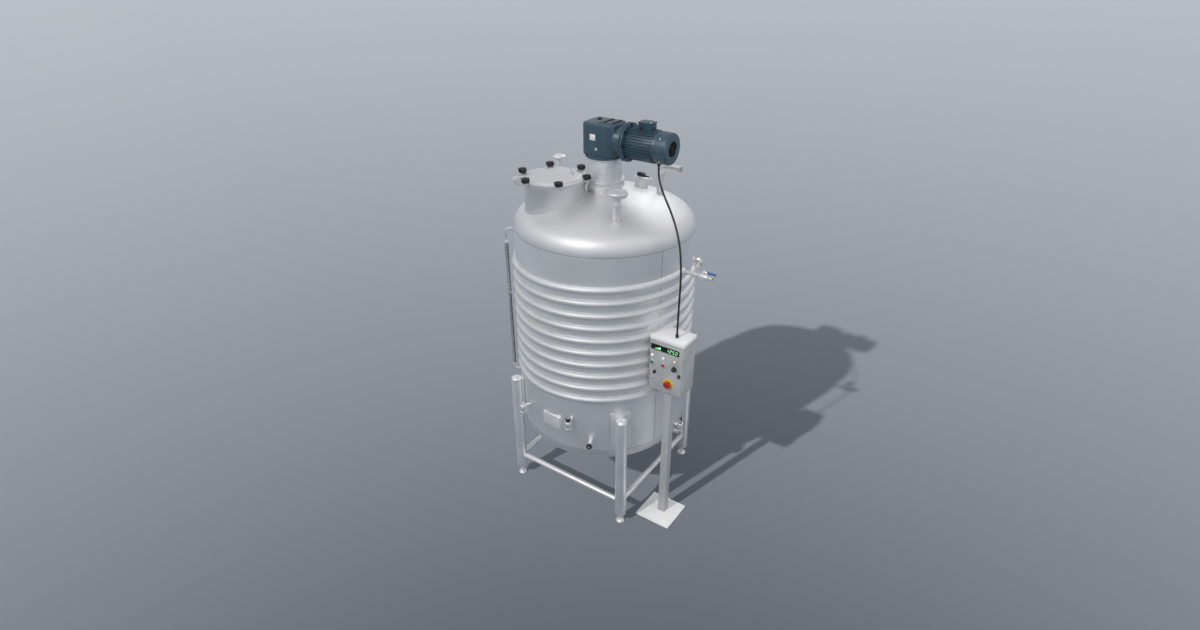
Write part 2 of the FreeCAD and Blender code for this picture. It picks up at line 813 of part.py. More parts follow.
def make_coil():
    """Ten turns of half pipe, open side on the shell, swept along one helix."""
    pitch = number(coil_pitch)
    radius = number(shell_radius)
    helix = Part.makeHelix(pitch, pitch * number(coil_turns), radius)
    outer = number(coil_radius)
    inner = outer - number(coil_wall)
    edges = [
        Part.Arc(FreeCAD.Vector(radius, 0, outer), FreeCAD.Vector(radius + outer, 0, 0),
                 FreeCAD.Vector(radius, 0, -outer)).toShape(),
        Part.LineSegment(FreeCAD.Vector(radius, 0, -outer), FreeCAD.Vector(radius, 0, -inner)).toShape(),
        Part.Arc(FreeCAD.Vector(radius, 0, -inner), FreeCAD.Vector(radius + inner, 0, 0),
                 FreeCAD.Vector(radius, 0, inner)).toShape(),
        Part.LineSegment(FreeCAD.Vector(radius, 0, inner), FreeCAD.Vector(radius, 0, outer)).toShape(),
    ]
    sweep = Part.Wire(helix).makePipeShell([Part.Wire(edges)], True, True)
    pieces = [sweep]
    for level, side in ((0, -1), (pitch * number(coil_turns), 1)):
        centre = FreeCAD.Vector(radius, 0, level)
        cap = Part.makeSphere(outer, centre).cut(Part.makeSphere(inner, centre))
        corner = centre + FreeCAD.Vector(-outer, min(side, 0) * outer, -outer)
        half = Part.makeBox(outer * 2, outer, outer * 2, corner)
        tank = Part.makeCylinder(radius, outer * 4, FreeCAD.Vector(0, 0, level - outer * 2))
        pieces.append(cap.common(half).cut(tank))
    node("jacket_coil", seat(solid("coil", Part.makeCompound(pieces)), 0, 0, coil_low))


# Legs and floor fittings

LEG_SIGNS = ((-1, -1), (1, -1), (1, 1), (-1, 1))


def make_legs():
    legs, feet, pads = [], [], []
    for right, back in LEG_SIGNS:
        x = leg_reach * right
        y = leg_reach * back
        pipe = tube("leg_pipe", leg_radius, leg_radius - leg_wall, leg_low, leg_high, x, y)
        cap = dome("leg_cap", leg_radius, leg_cap_rise, x, y, leg_high)
        plate = tube("leg_plate", leg_radius - leg_wall, foot_stem, leg_low, leg_low + leg_plate, x, y)
        legs.append(fuse("leg", pipe, cap, plate))
        foot = fuse(
            "foot",
            rod("foot_disc", foot_radius, 0, foot_rim, x, y),
            dome("foot_dome", foot_radius, foot_rise, x, y, foot_rim),
            rod("foot_screw", foot_stem, foot_rim, leg_low + leg_plate, x, y),
            rod("foot_lock", foot_nut, leg_low - foot_nut_depth, leg_low, x, y),
        )
        feet.append(foot)
        skin = tube("pad_skin", leg_distance - leg_radius - pad_clear, shell_radius, pad_low, pad_high)
        window = block("pad_window", 0, leg_distance, pad_width / -2, pad_width / 2, pad_low, pad_high)
        saddle = block("saddle", leg_distance - leg_radius - 2, leg_distance, saddle_width / -2,
                       saddle_width / 2, pad_low, leg_high)
        trim = rod("saddle_trim", leg_radius, pad_low, leg_high, leg_distance)
        seat_block = cut("saddle_cut", saddle, trim)
        pad = fuse("pad", common("pad_plate", skin, window), seat_block)
        angle = math.degrees(math.atan2(back, right))
        pads.append(turned_about(pad, angle))
    node("support_legs", group("legs", *legs))
    node("levelling_feet", group("feet", *feet))
    node("leg_pads", group("pads", *pads))


def make_braces():
    bars = []
    for angle in (0, 90, 180, 270):
        bar = tube("brace", brace_radius, brace_radius - brace_wall, -leg_reach, leg_reach,
                   leg_reach, 0, brace_level, "y")
        low = rod("brace_end", leg_radius, 0, leg_high, leg_reach, -leg_reach)
        high = rod("brace_end", leg_radius, 0, leg_high, leg_reach, leg_reach)
        bars.append(turned_about(cut("brace_coped", bar, low, high), angle))
    node("leg_braces", group("braces", *bars))


# Manway: everything is built with the hinge on +X and turned to the manway's angle

gasket_low = neck_high
lid_low = neck_high + gasket_depth + seat_gap
lid_high = lid_low + lid_rim
hinge_level = lid_low + lid_rim / 2


def at_manway(piece):
    return seat(group("at_manway", piece), manway_x, manway_y, 0,
                FreeCAD.Rotation(FreeCAD.Vector(0, 0, 1), number(manway_angle)))


def make_neck():
    pipe = tube("neck_pipe", neck_radius, neck_radius - neck_wall, shell_high, neck_high)
    flange = tube("neck_rim", neck_flange_radius, neck_radius - neck_wall, neck_high - neck_flange, neck_high)
    inside = ball("neck_trim", crown_radius - shell_wall, -manway_offset, 0, dome_centre)
    node("manway_neck", at_manway(cut("neck", fuse("neck_whole", pipe, flange), inside)))
    gasket_outer = neck_flange_radius - gasket_inset
    gasket = tube("gasket", gasket_outer, gasket_outer - gasket_width, gasket_low, gasket_low + gasket_depth)
    node("manway_gasket", at_manway(gasket))


def make_hinge():
    gap = hinge_knuckle_length / 2 + 0.5
    far = gap + hinge_ear
    ears = []
    for side in (-1, 1):
        near = gap if side > 0 else -far
        edge = far if side > 0 else -gap
        low = hinge_level - hinge_knuckle * 3
        plate = block("ear", neck_radius, hinge_offset, near, edge, low, hinge_level + hinge_knuckle * 0.4)
        boss = rod("ear_boss", hinge_knuckle, near, edge, hinge_offset, 0, hinge_level, "y")
        ears.append(fuse("ear_whole", plate, boss))
    base = block("hinge_base", neck_radius, hinge_offset, -far, far, hinge_level - hinge_knuckle * 3,
                 hinge_level - hinge_knuckle * 2)
    body = cut("hinge_body", fuse("hinge_plates", *ears, base),
               rod("hinge_neck", neck_radius, shell_high, neck_high),
               rod("hinge_rim", neck_flange_radius, neck_high - neck_flange, neck_high),
               rod("hinge_clear", lid_radius + 2, neck_high, neck_high + lid_rim * 3),
               rod("hinge_bore", hinge_pin, -far, far, hinge_offset, 0, hinge_level, "y"))
    pin = rod("pin", hinge_pin, -far, far, hinge_offset, 0, hinge_level, "y")
    heads = [rod("pin_head", hinge_pin + 3, far, far + 4, hinge_offset, 0, hinge_level, "y"),
             rod("pin_clip", hinge_pin + 3, -far - 4, -far, hinge_offset, 0, hinge_level, "y")]
    node("lid_hinge_bracket", at_manway(group("hinge", body, fuse("hinge_pin", pin, *heads))))


def clamp_angle(index):
    """Clamps stand evenly round the lid, half a step away from the hinge."""
    return 360 / number(clamp_count) * (index + 0.5)


def make_lid():
    half = hinge_knuckle_length / 2
    disc = rod("lid_disc", lid_radius, lid_low, lid_high)
    dish = dome("lid_dish", lid_dish_radius, lid_dish_rise, 0, 0, lid_high)
    arm = block("lid_arm", hinge_arm_reach, hinge_offset, -half, half, lid_low, lid_high + lid_rim)
    clear = rod("arm_trim", lid_radius - 0.5, lid_low, lid_high)
    knuckle = rod("lid_knuckle", hinge_knuckle, -half, half, hinge_offset, 0, hinge_level, "y")
    ears, bores = [], []
    for index in range(int(number(clamp_count))):
        ear = rod("clamp_ear", clamp_ear, lid_low, lid_high, clamp_offset)
        ears.append(turned_about(ear, clamp_angle(index)))
        bore = rod("clamp_bore", clamp_stud + fit, lid_low, lid_high, clamp_offset)
        bores.append(turned_about(bore, clamp_angle(index)))
    grips = []
    for side in (-0.5, 0.5):
        grips.append(rod("grip_leg", handle_rod, lid_high, lid_high + handle_rise, -handle_offset,
                         handle_span * side))
    reach = handle_span / 2
    grip = rod("grip_bar", handle_rod, -reach, reach, -handle_offset, 0, lid_high + handle_rise, "y")
    knobs = [ball("grip_corner", handle_rod, -handle_offset, handle_span * side, lid_high + handle_rise)
             for side in (-0.5, 0.5)]
    lid = fuse("lid_whole", disc, dish, cut("arm_cut", arm, clear), knuckle, *ears, *grips, grip, *knobs)
    bore = rod("knuckle_bore", hinge_pin + fit, -half - 1, half + 1, hinge_offset, 0, hinge_level, "y")
    node("manway_lid", at_manway(cut("lid", lid, bore, *bores)))


def make_clamps():
    """Each clamp: a lobed hand knob on a stud whose toe turns under the neck's rim."""
    toe_high = neck_high - neck_flange - seat_gap
    knob_low = lid_high + clamp_knob_rise
    knob_high = knob_low + clamp_knob_depth
    for index in range(int(number(clamp_count))):
        grip = rod("knob_core", clamp_knob, knob_low, knob_high)
        lobes = [turned_about(rod("knob_lobe", clamp_lobe, knob_low, knob_high, clamp_knob), 60 * step)
                 for step in range(6)]
        hollow = rod("knob_hollow", clamp_knob * 0.6, knob_high - clamp_knob_depth / 4, knob_high)
        knob = cut("knob", fuse("knob_whole", grip, *lobes), hollow,
                   rod("knob_bore", clamp_stud, knob_low, knob_high))
        stud = rod("stud", clamp_stud, toe_high - clamp_toe_depth - 3, knob_high + 3)
        collar = rod("stud_collar", clamp_stud + 4, lid_high + seat_gap, knob_low)
        toe = block("toe", -clamp_toe_width / 2, clamp_toe_width / 2, -clamp_toe_width / 2,
                    clamp_toe_length, toe_high - clamp_toe_depth, toe_high)
        hook = fuse("hook", stud, collar, toe)
        clamp = seat(group("clamp", knob, hook), clamp_offset)
        node(f"lid_clamp_{index + 1}", at_manway(turned_about(clamp, clamp_angle(index))))


# Agitator and its drive

def make_agitator():
    lantern_low = pad_flange_high
    rim_low = lantern_low + lantern_flange_depth
    bore = lantern_radius - lantern_wall
    points = [
        (bore, lantern_low), (pad_flange, lantern_low), (pad_flange, rim_low), (lantern_rim, rim_low),
        (lantern_rim, rim_low + lantern_rim_depth), (lantern_radius, rim_low + lantern_rim_depth),
        (lantern_radius, lantern_high), (coupling_radius + 10, lantern_high),
        (coupling_radius + 10, lantern_high - lantern_top_plate), (bore, lantern_high - lantern_top_plate),
    ]
    node("agitator_lantern", turned("lantern", points))
    running = shaft_radius + fit
    seal = [
        (running, lantern_low), (bore, lantern_low), (bore, lantern_low + seal_flange),
        (seal_radius, lantern_low + seal_flange), (seal_radius, seal_high), (running, seal_high),
    ]
    node("shaft_seal", turned("seal", seal))
    rotor = fuse("agitator_shaft", rod("long_shaft", shaft_radius, shaft_low, shaft_high),
                 rod("coupling", coupling_radius, coupling_low, coupling_high))
    node("agitator_shaft", rotor)
    turbines = []
    for level in (impeller_low, impeller_low + impeller_rise):
        hub = tube("hub", impeller_hub, shaft_radius, level - impeller_blade / 2, level + impeller_blade / 2)
        blades = []
        for index in range(int(number(blade_count))):
            blade = block("blade", impeller_hub * 0.8, impeller_reach, -blade_thickness / 2,
                          blade_thickness / 2, -impeller_blade / 2, impeller_blade / 2)
            leaned = turned_about(blade, blade_pitch, axis=(1, 0, 0))
            blades.append(turned_about(leaned, 360 / number(blade_count) * index, 0, 0, level))
        bladed = fuse("turbine", hub, *blades)
        turbines.append(cut("turbine_bored", bladed, rod("turbine_bore", shaft_radius, level - impeller_reach,
                                                         level + impeller_reach)))
    node("impellers", group("turbines", *turbines))


def make_steady_bearing():
    bush = tube("bush", bush_radius, shaft_radius + fit, bush_low, bush_high)
    arms = []
    for index in range(3):
        arm = block("bush_arm", bush_radius - 1, bush_arm, -bush_foot, bush_foot, bush_low,
                    bush_low + bush_foot * 2)
        foot = rod("bush_leg", bush_foot, dish_bottom, bush_low + bush_foot * 2, bush_arm)
        arms.append(turned_about(fuse("bush_strut", arm, foot), 120 * index))
    room = ball("dish_room", crown_radius - shell_wall, 0, 0, dish_centre)
    node("steady_bearing", common("bearing", fuse("bearing_whole", bush, *arms), room))


def along_motor(piece):
    """Turn a piece built on Z so that it lies along the motor's axis."""
    return seat(group("along_motor", piece), 0, 0, motor_level, ALONG["x"])


def make_gear_housing():
    box = block("housing_box", housing_left, housing_right, -housing_half, housing_half, housing_low,
                housing_high)
    doc.recompute()
    rounded = fresh("Part::Fillet", "housing_round")
    rounded.Base = box
    rounded.Edges = [(index + 1, number(housing_corner), number(housing_corner))
                     for index, edge in enumerate(box.Shape.Edges)
                     if abs(edge.tangentAt(edge.FirstParameter).z) > 0.9]
    doc.recompute()
    soft = fresh("Part::Fillet", "housing_soft")
    soft.Base = rounded
    soft.Edges = [(index + 1, number(housing_edge), number(housing_edge))
                  for index, edge in enumerate(rounded.Shape.Edges)
                  if edge.BoundBox.ZMin > number(housing_high) - 0.01]
    hollow = block("housing_room", housing_left + housing_wall, housing_right - housing_wall,
                   -housing_half + housing_wall, housing_half - housing_wall,
                   housing_low + housing_wall, housing_high - housing_wall)
    flange = rod("output_flange", output_flange, lantern_high, housing_low)
    snout = rod("snout", snout_radius, housing_right - housing_corner, adaptor_left, 0, 0, motor_level, "x")
    snout_bore = rod("snout_bore", snout_radius - housing_wall, housing_right - housing_wall - 1,
                     adaptor_left, 0, 0, motor_level, "x")
    cover = block("cover", housing_right - cover_far, housing_right - cover_near, -cover_half, cover_half,
                  housing_high - 1, housing_high + cover_depth)
    breather = rod("breather", breather_radius, housing_high - 1, housing_high + breather_rise, breather_x,
                   breather_y)
    whole = fuse("housing_whole", soft, flange, snout, cover, breather)
    bore = rod("output_bore", shaft_radius + fit, lantern_high, housing_low + housing_wall)
    node("gear_housing", cut("housing", whole, hollow, snout_bore, bore))


def make_motor():
    neck = adaptor_left + adaptor_disc
    second = neck + adaptor_groove
    running = rotor_shaft + fit
    adaptor = [
        (running, adaptor_left), (adaptor_radius, adaptor_left), (adaptor_radius, neck), (adaptor_neck, neck),
        (adaptor_neck, second), (adaptor_radius, second), (adaptor_radius, adaptor_right),
        (running, adaptor_right),
    ]
    node("motor_adaptor", along_motor(turned("adaptor", adaptor)))

    body = fresh("PartDesign::Body", "frame")
    ring = sketch_on(body, "XY_Plane", "frame_ring")
    for radius in (frame_core, frame_bore):
        circle = ring.addGeometry(Part.Circle(FreeCAD.Vector(), FreeCAD.Vector(0, 0, 1), number(radius)))
        ring.addConstraint(Sketcher.Constraint("Coincident", circle, 3, -1, 1))
        rule = ring.addConstraint(Sketcher.Constraint("Radius", circle, number(radius)))
        bind(ring, f"Constraints[{rule}]", radius)
    core = body.newObject("PartDesign::Pad", "frame_core_pad")
    core.Profile = ring
    bind(core, "Length", frame_length)
    rib = sketch_on(body, "XY_Plane", "frame_rib")
    outline(rib, [(frame_core - 2, rib_width / -2), (rib_radius, rib_width / -2),
                  (rib_radius, rib_width / 2), (frame_core - 2, rib_width / 2)])
    fin = body.newObject("PartDesign::Pad", "frame_fin")
    fin.Profile = rib
    bind(fin, "Length", frame_length - rear_ring)
    ribs = body.newObject("PartDesign::PolarPattern", "frame_fins")
    ribs.Originals = [fin]
    ribs.Axis = (rib, ["N_Axis"])
    ribs.Angle = 360
    bind(ribs, "Occurrences", rib_count)
    body.Tip = ribs
    shield = tube("rear_shield", frame_bore + 1, rotor_shaft + fit, frame_length - end_shield, frame_length)
    frame = seat(group("frame_place", fuse("frame_whole", body, shield)), 0, 0, adaptor_right)
    node("motor_frame", along_motor(frame))

    top = block("terminal_body", terminal_left, terminal_left + terminal_length, -terminal_half,
                terminal_half, motor_level, terminal_high)
    lid = block("terminal_lid", terminal_left - terminal_overhang,
                terminal_left + terminal_length + terminal_overhang, -terminal_half - terminal_overhang,
                terminal_half + terminal_overhang, terminal_high, terminal_high + terminal_lid)
    under = rod("terminal_trim", rib_radius, terminal_left - 20, terminal_left + terminal_length + 20,
                0, 0, motor_level, "x")
    node("terminal_box", cut("terminal", fuse("terminal_whole", top, lid), under))

    inner = fan_cover_radius - fan_cover_wall
    cover_left = frame_right - cover_lap
    cup = [
        (inner, cover_left), (fan_cover_radius, cover_left), (fan_cover_radius, cover_right),
        (grille_radius, cover_right), (grille_radius, cover_right - fan_cover_wall),
        (inner, cover_right - fan_cover_wall),
    ]
    bars = [block("grille_bar", -grille_radius - 1, grille_radius + 1, -grille_bar / 2, grille_bar / 2,
                  cover_right - fan_cover_wall, cover_right),
            block("grille_bar", -grille_bar / 2, grille_bar / 2, -grille_radius - 1, grille_radius + 1,
                  cover_right - fan_cover_wall, cover_right),
            rod("grille_disc", grille_radius / 3, cover_right - fan_cover_wall, cover_right)]
    seat_ring = tube("cover_seat", inner, frame_core, cover_left, frame_right)
    node("fan_cover", along_motor(fuse("cover", turned("cover_cup", cup), seat_ring, *bars)))

    fan_left = frame_right + fan_gap
    fan_right = fan_left + fan_depth
    shaft = rod("rotor_shaft", rotor_shaft, housing_right + 8, fan_right + 6)
    drum = rod("rotor_drum", rotor_radius, adaptor_right + rotor_end_gap,
               frame_right - end_shield - rotor_end_gap)
    hub = rod("fan_hub", rotor_shaft + 10, fan_left, fan_right)
    disc = rod("fan_disc", fan_radius, fan_left, fan_left + 3)
    blades = [turned_about(block("fan_blade", rotor_shaft, fan_radius, -1.5, 1.5, fan_left, fan_right),
                           360 / number(fan_blades) * index) for index in range(int(number(fan_blades)))]
    node("motor_rotor", along_motor(fuse("rotor", shaft, drum, hub, disc, *blades)))


# Dome nozzles and what stands on them

def make_nozzles():
    high = front_split
    trim = ball("stub_trim", crown_radius - shell_wall, 0, 0, dome_centre)
    front = fuse("front_stub", tube("front_pipe", front_radius, front_radius - pipe_wall, shell_high, high,
                                    front_x, front_y),
                 tube("front_rim", front_ferrule, front_radius - pipe_wall, high - ferrule_depth, high,
                      front_x, front_y))
    vent = tube("vent_pipe", vent_radius, vent_radius - pipe_wall, shell_high, vent_cap_low, vent_x, vent_y)
    pad = fuse("pad_ring", tube("pad_pipe", pad_neck, pad_bore, shell_high, pad_flange_high),
               tube("pad_rim", pad_flange, pad_bore, pad_flange_low, pad_flange_high))
    lamp = lamp_frame(fuse("lamp_port", tube("lamp_pipe", lamp_stub, lamp_stub - 3, -60, lamp_rise),
                           tube("lamp_rim", lamp_flange, lamp_stub - 3, lamp_rise - 4,
                                lamp_rise + lamp_flange_depth)))
    node("dome_nozzles", cut("nozzles", group("nozzles_whole", front, vent, pad, lamp), trim))

    body = tube("clamp_ring", clamp_ring, front_ferrule, high - clamp_ring_depth / 2,
                high + clamp_ring_depth / 2)
    lug = block("clamp_lug", clamp_ring - 3, clamp_ring + 8, -9, 9, high - 10, high + 10)
    bolt = rod("wing_bolt", wing_bolt, clamp_ring + 4, clamp_ring + 34, 0, 0, high, "x")
    lipped = [tube("clamp_lip", clamp_ring - 1, front_radius, high + side, high + side + 3)
              for side in (clamp_ring_depth / 2 - 3, -clamp_ring_depth / 2)]
    ring = fuse("clamp_whole", cut("clamp_room", fuse("clamp_body", body, lug),
                                   rod("clamp_bore", front_ferrule, high - 40, high + 40)), *lipped, bolt)
    node("nozzle_clamp", seat(group("clamp_place", ring), front_x, front_y))
    wing_left = clamp_ring + 8 + seat_gap
    hub = rod("wing_hub", wing_hub, wing_left, wing_left + 14, 0, 0, high, "x")
    wings = block("wings", wing_left + 5, wing_left + 12, -2.5, 2.5, high - wing_span / 2,
                  high + wing_span / 2)
    nut = cut("wing_nut", fuse("wing_whole", hub, wings),
              rod("wing_bore", wing_bolt + fit, wing_left - 1, wing_left + 20, 0, 0, high, "x"))
    node("clamp_wing_nut", seat(group("wing_place", nut), front_x, front_y))

    soft = front_cap_radius * 0.2
    cap = [
        (0, high), (front_ferrule, high), (front_ferrule, high + ferrule_depth),
        (front_radius, high + ferrule_depth), (front_radius, front_cap_low),
        (front_cap_radius - soft, front_cap_low), (front_cap_radius, front_cap_low + soft),
        (front_cap_radius, front_cap_high), (0, front_cap_high),
    ]
    sight = seat(group("cap_place", turned("sight_cap", cap)), front_x, front_y)
    lid = fuse("vent_lid", rod("vent_disc", vent_cap_radius, vent_cap_low, vent_cap_low + vent_cap_rim,
                               vent_x, vent_y),
               dome("vent_dome", vent_cap_radius, vent_cap_rise, vent_x, vent_y, vent_cap_low + vent_cap_rim))
    node("nozzle_caps", group("caps", sight, lid))

    seat_level = lamp_rise + lamp_flange_depth
    glass = rod("lamp_glass", lamp_flange - 8, seat_level, seat_level + 6)
    head = rod("lamp_body", lamp_head_radius, seat_level + 6, seat_level + 6 + lamp_head_depth,
               -lamp_flange / 3)
    node("lamp_head", lamp_frame(fuse("lamp", glass, head)))


def elbow_pipe(points, bends, outer, inner):
    """A round pipe along straight runs joined by tangent arcs, one bend radius for each corner."""
    edges = []
    start = points[0]
    for corner, after, bend in zip(points[1:-1], points[2:], bends):
        towards = (corner - start).normalize()
        onward = FreeCAD.Vector(after - corner).normalize()
        turn = towards.getAngle(onward)
        reach = bend * math.tan(turn / 2)
        enter = corner - towards * reach
        leave = corner + onward * reach
        inward = (onward - towards).normalize()
        middle = corner + inward * (bend / math.cos(turn / 2) - bend)
        edges.append(Part.LineSegment(start, enter).toShape())
        edges.append(Part.Arc(enter, middle, leave).toShape())
        start = leave
    edges.append(Part.LineSegment(start, points[-1]).toShape())
    path = Part.Wire(edges)
    heading = points[1] - points[0]
    shapes = []
    for radius in (outer, inner):
        if radius > 0:
            ring = Part.Wire(Part.makeCircle(radius, points[0], heading))
            shapes.append(path.makePipeShell([ring], True, False))
    return shapes[0].cut(shapes[1]) if len(shapes) == 2 else shapes[0]


def make_wash_pipe():
    x, y = number(wash_x), number(wash_y)
    level = number(wash_level)
    angle = math.radians(number(wash_arm_angle))
    arm = number(wash_arm)
    end = FreeCAD.Vector(x + arm * math.cos(angle), y + arm * math.sin(angle), level)
    points = [FreeCAD.Vector(x, y, number(wash_low)), FreeCAD.Vector(x, y, level), end]
    outer = number(wash_radius)
    inner = outer - number(pipe_wall)
    pipe = elbow_pipe(points, [number(wash_bend)], outer, inner)
    back = FreeCAD.Vector(-math.cos(angle), -math.sin(angle), 0)
    rim = Part.makeCylinder(number(ferrule_radius), number(ferrule_depth), end, back)
    rim = rim.cut(Part.makeCylinder(inner, number(ferrule_depth), end, back))
    centre = FreeCAD.Vector(x, y, number(wash_low) - number(spray_ball) * 0.6)
    sprayer = Part.makeSphere(number(spray_ball), centre)
    sprayer = sprayer.cut(Part.makeSphere(number(spray_ball) - number(pipe_wall), centre))
    sprayer = sprayer.cut(Part.makeCylinder(outer, number(spray_ball) * 2, centre))
    node("wash_pipe", solid("wash", pipe.fuse(rim).fuse(sprayer)))


# Fittings on the shell, built on +X and turned to their angles

def make_level_gauge():
    """Two elbows from the shell, a sight tube above and a guarded tube below, on one rail."""
    inside = number(shell_radius - shell_wall)
    reach = number(gauge_offset)
    bend = number(gauge_bend)
    pieces = []
    for level, end in ((number(gauge_high), number(sight_high)), (number(gauge_low), number(sight_low))):
        points = [FreeCAD.Vector(inside, 0, level), FreeCAD.Vector(reach, 0, level),
                  FreeCAD.Vector(reach, 0, end)]
        outer = number(gauge_pipe)
        pieces.append(solid("gauge_pipe", elbow_pipe(points, [bend], outer, outer / 2)))
    collars = ((sight_low, sight_low + rail_collar), (sight_mid - rail_collar, sight_mid),
               (sight_high - rail_collar, sight_high))
    holders = []
    for low, high in collars:
        holders.append(rod("rail_ring", sight_tube + 2, low, high, gauge_offset))
        holders.append(block("rail_end", gauge_offset - 8, gauge_offset + 8, 0, sight_tube + 10, low, high))
    rail = block("gauge_rail", gauge_offset - 6, gauge_offset + 6, sight_tube + 4, sight_tube + 10, sight_low,
                 sight_high)
    pieces.append(fuse("gauge_frame", rail, *holders))
    pieces.append(tube("sight_tube", sight_tube, sight_tube - 3, sight_mid, sight_high - rail_collar,
                       gauge_offset))
    pieces.append(tube("sight_guard", guard_radius, guard_radius - 2, sight_low + rail_collar,
                       sight_mid - rail_collar, gauge_offset))
    node("level_gauge", group("gauge", *pieces), gauge_angle)


def make_name_plate():
    plate = block("plate", shell_radius - 10, shell_radius + plate_stand, -plate_width / 2, plate_width / 2,
                  plate_level - plate_height / 2, plate_level + plate_height / 2)
    node("name_plate", cut("plate_seated", plate, rod("plate_trim", shell_radius, shell_low, shell_high)),
         plate_angle)


def make_jacket_pipes():
    level = coil_high
    start = coil_crest - coil_radius / 2
    bore = inlet_pipe - inlet_wall
    pipe = tube("inlet_pipe", inlet_pipe, bore, start, inlet_reach, 0, 0, level, "x")
    body = tube("inlet_valve", valve_radius, bore, valve_start, valve_start + valve_length, 0, 0, level, "x")
    centre = valve_start + valve_length / 2
    neck = rod("valve_neck", valve_stem + 4, level + inlet_pipe, level + valve_stem_rise - 8, centre)
    stem = rod("valve_stem", valve_stem, level + inlet_pipe, level + valve_stem_rise, centre)
    tee = rod("tee", inlet_pipe + 4, dial_place - 18, dial_place + 18, 0, 0, level, "x")
    riser = rod("dial_riser", 6, level + inlet_pipe - 2, level + dial_rise, dial_place)
    dial_room = rod("dial_room", dial_radius, -dial_depth / 2, dial_depth / 2, dial_place, 0,
                    level + dial_rise, "y")
    coil_body = rod("coil_trim", coil_crest, level - 60, level + 60)
    outlet = tube("outlet_pipe", inlet_pipe, bore, start, outlet_reach, 0, 0, coil_low, "x")
    outlet_end = tube("outlet_union", inlet_pipe + 6, bore, outlet_reach - 16, outlet_reach, 0, 0,
                      coil_low, "x")
    low_trim = rod("coil_trim", coil_crest, coil_low - 60, coil_low + 60)
    inlet = cut("inlet", fuse("inlet_whole", pipe, body, neck, stem, tee, riser), coil_body, dial_room,
                rod("inlet_bore", bore, start - 5, inlet_reach + 5, 0, 0, level, "x"))
    outlet_set = cut("outlet", fuse("outlet_whole", outlet, outlet_end), low_trim)
    node("jacket_pipes", group("jacket_pipes_set", inlet, outlet_set))
    lever_low = level + valve_stem_rise - lever_depth - 1
    hub = rod("lever_hub", lever_hub, lever_low, lever_low + lever_depth, centre)
    bar = block("lever_bar", centre, centre + lever_reach, -lever_width / 2, lever_width / 2, lever_low,
                lever_low + lever_depth)
    lever = cut("lever", fuse("lever_whole", hub, bar),
                rod("lever_bore", valve_stem + fit, lever_low - 1, lever_low + lever_depth + 1, centre))
    node("inlet_handle", lever)


def make_dial():
    level = coil_high + dial_rise
    front = -dial_depth / 2
    case = rod("dial_case", dial_radius, front, dial_depth / 2, dial_place, 0, level, "y")
    recess = rod("dial_recess", dial_radius - dial_rim, front, front + dial_recess, dial_place, 0, level, "y")
    pin = rod("dial_pin", needle_pin, front + 2, front + dial_recess, dial_place, 0, level, "y")
    node("pressure_gauge", fuse("dial", cut("dial_cup", case, recess), pin))
    needle_front = front + 3
    bar = block("needle_bar", dial_place - needle_width / 2, dial_place + needle_width / 2, needle_front,
                needle_front + 1, level - needle_length / 3, level + needle_length)
    hub = rod("needle_hub", needle_pin + 2, needle_front, needle_front + 1, dial_place, 0, level, "y")
    bore = rod("needle_bore", needle_pin + fit, needle_front - 1, needle_front + 2, dial_place, 0, level, "y")
    node("gauge_needle", cut("needle", fuse("needle_whole", bar, hub), bore))


def make_drain_valve():
    level = drain_level
    pipe = rod("drain_pipe", sample_pipe, shell_radius - shell_wall, drain_reach, 0, 0, level, "x")
    body = rod("drain_body", drain_body, level - drain_drop, level + drain_high, drain_reach)
    stem = rod("drain_stem", valve_stem, level + drain_high, level + drain_high + 16, drain_reach)
    node("drain_valve", fuse("drain", pipe, body, stem), drain_angle)
    low = level + drain_high + seat_gap
    hub = rod("drain_hub", lever_hub, low, low + lever_depth, drain_reach)
    grip = block("drain_grip", drain_reach - lever_width / 4, drain_reach + lever_width / 4, lever_hub - 4,
                 lever_hub + 6, low, low + lever_reach / 2)
    node("drain_handle", cut("drain_lever", fuse("drain_lever_whole", hub, grip),
                             rod("drain_bore", valve_stem + fit, low - 1, low + 40, drain_reach)),
         drain_angle)


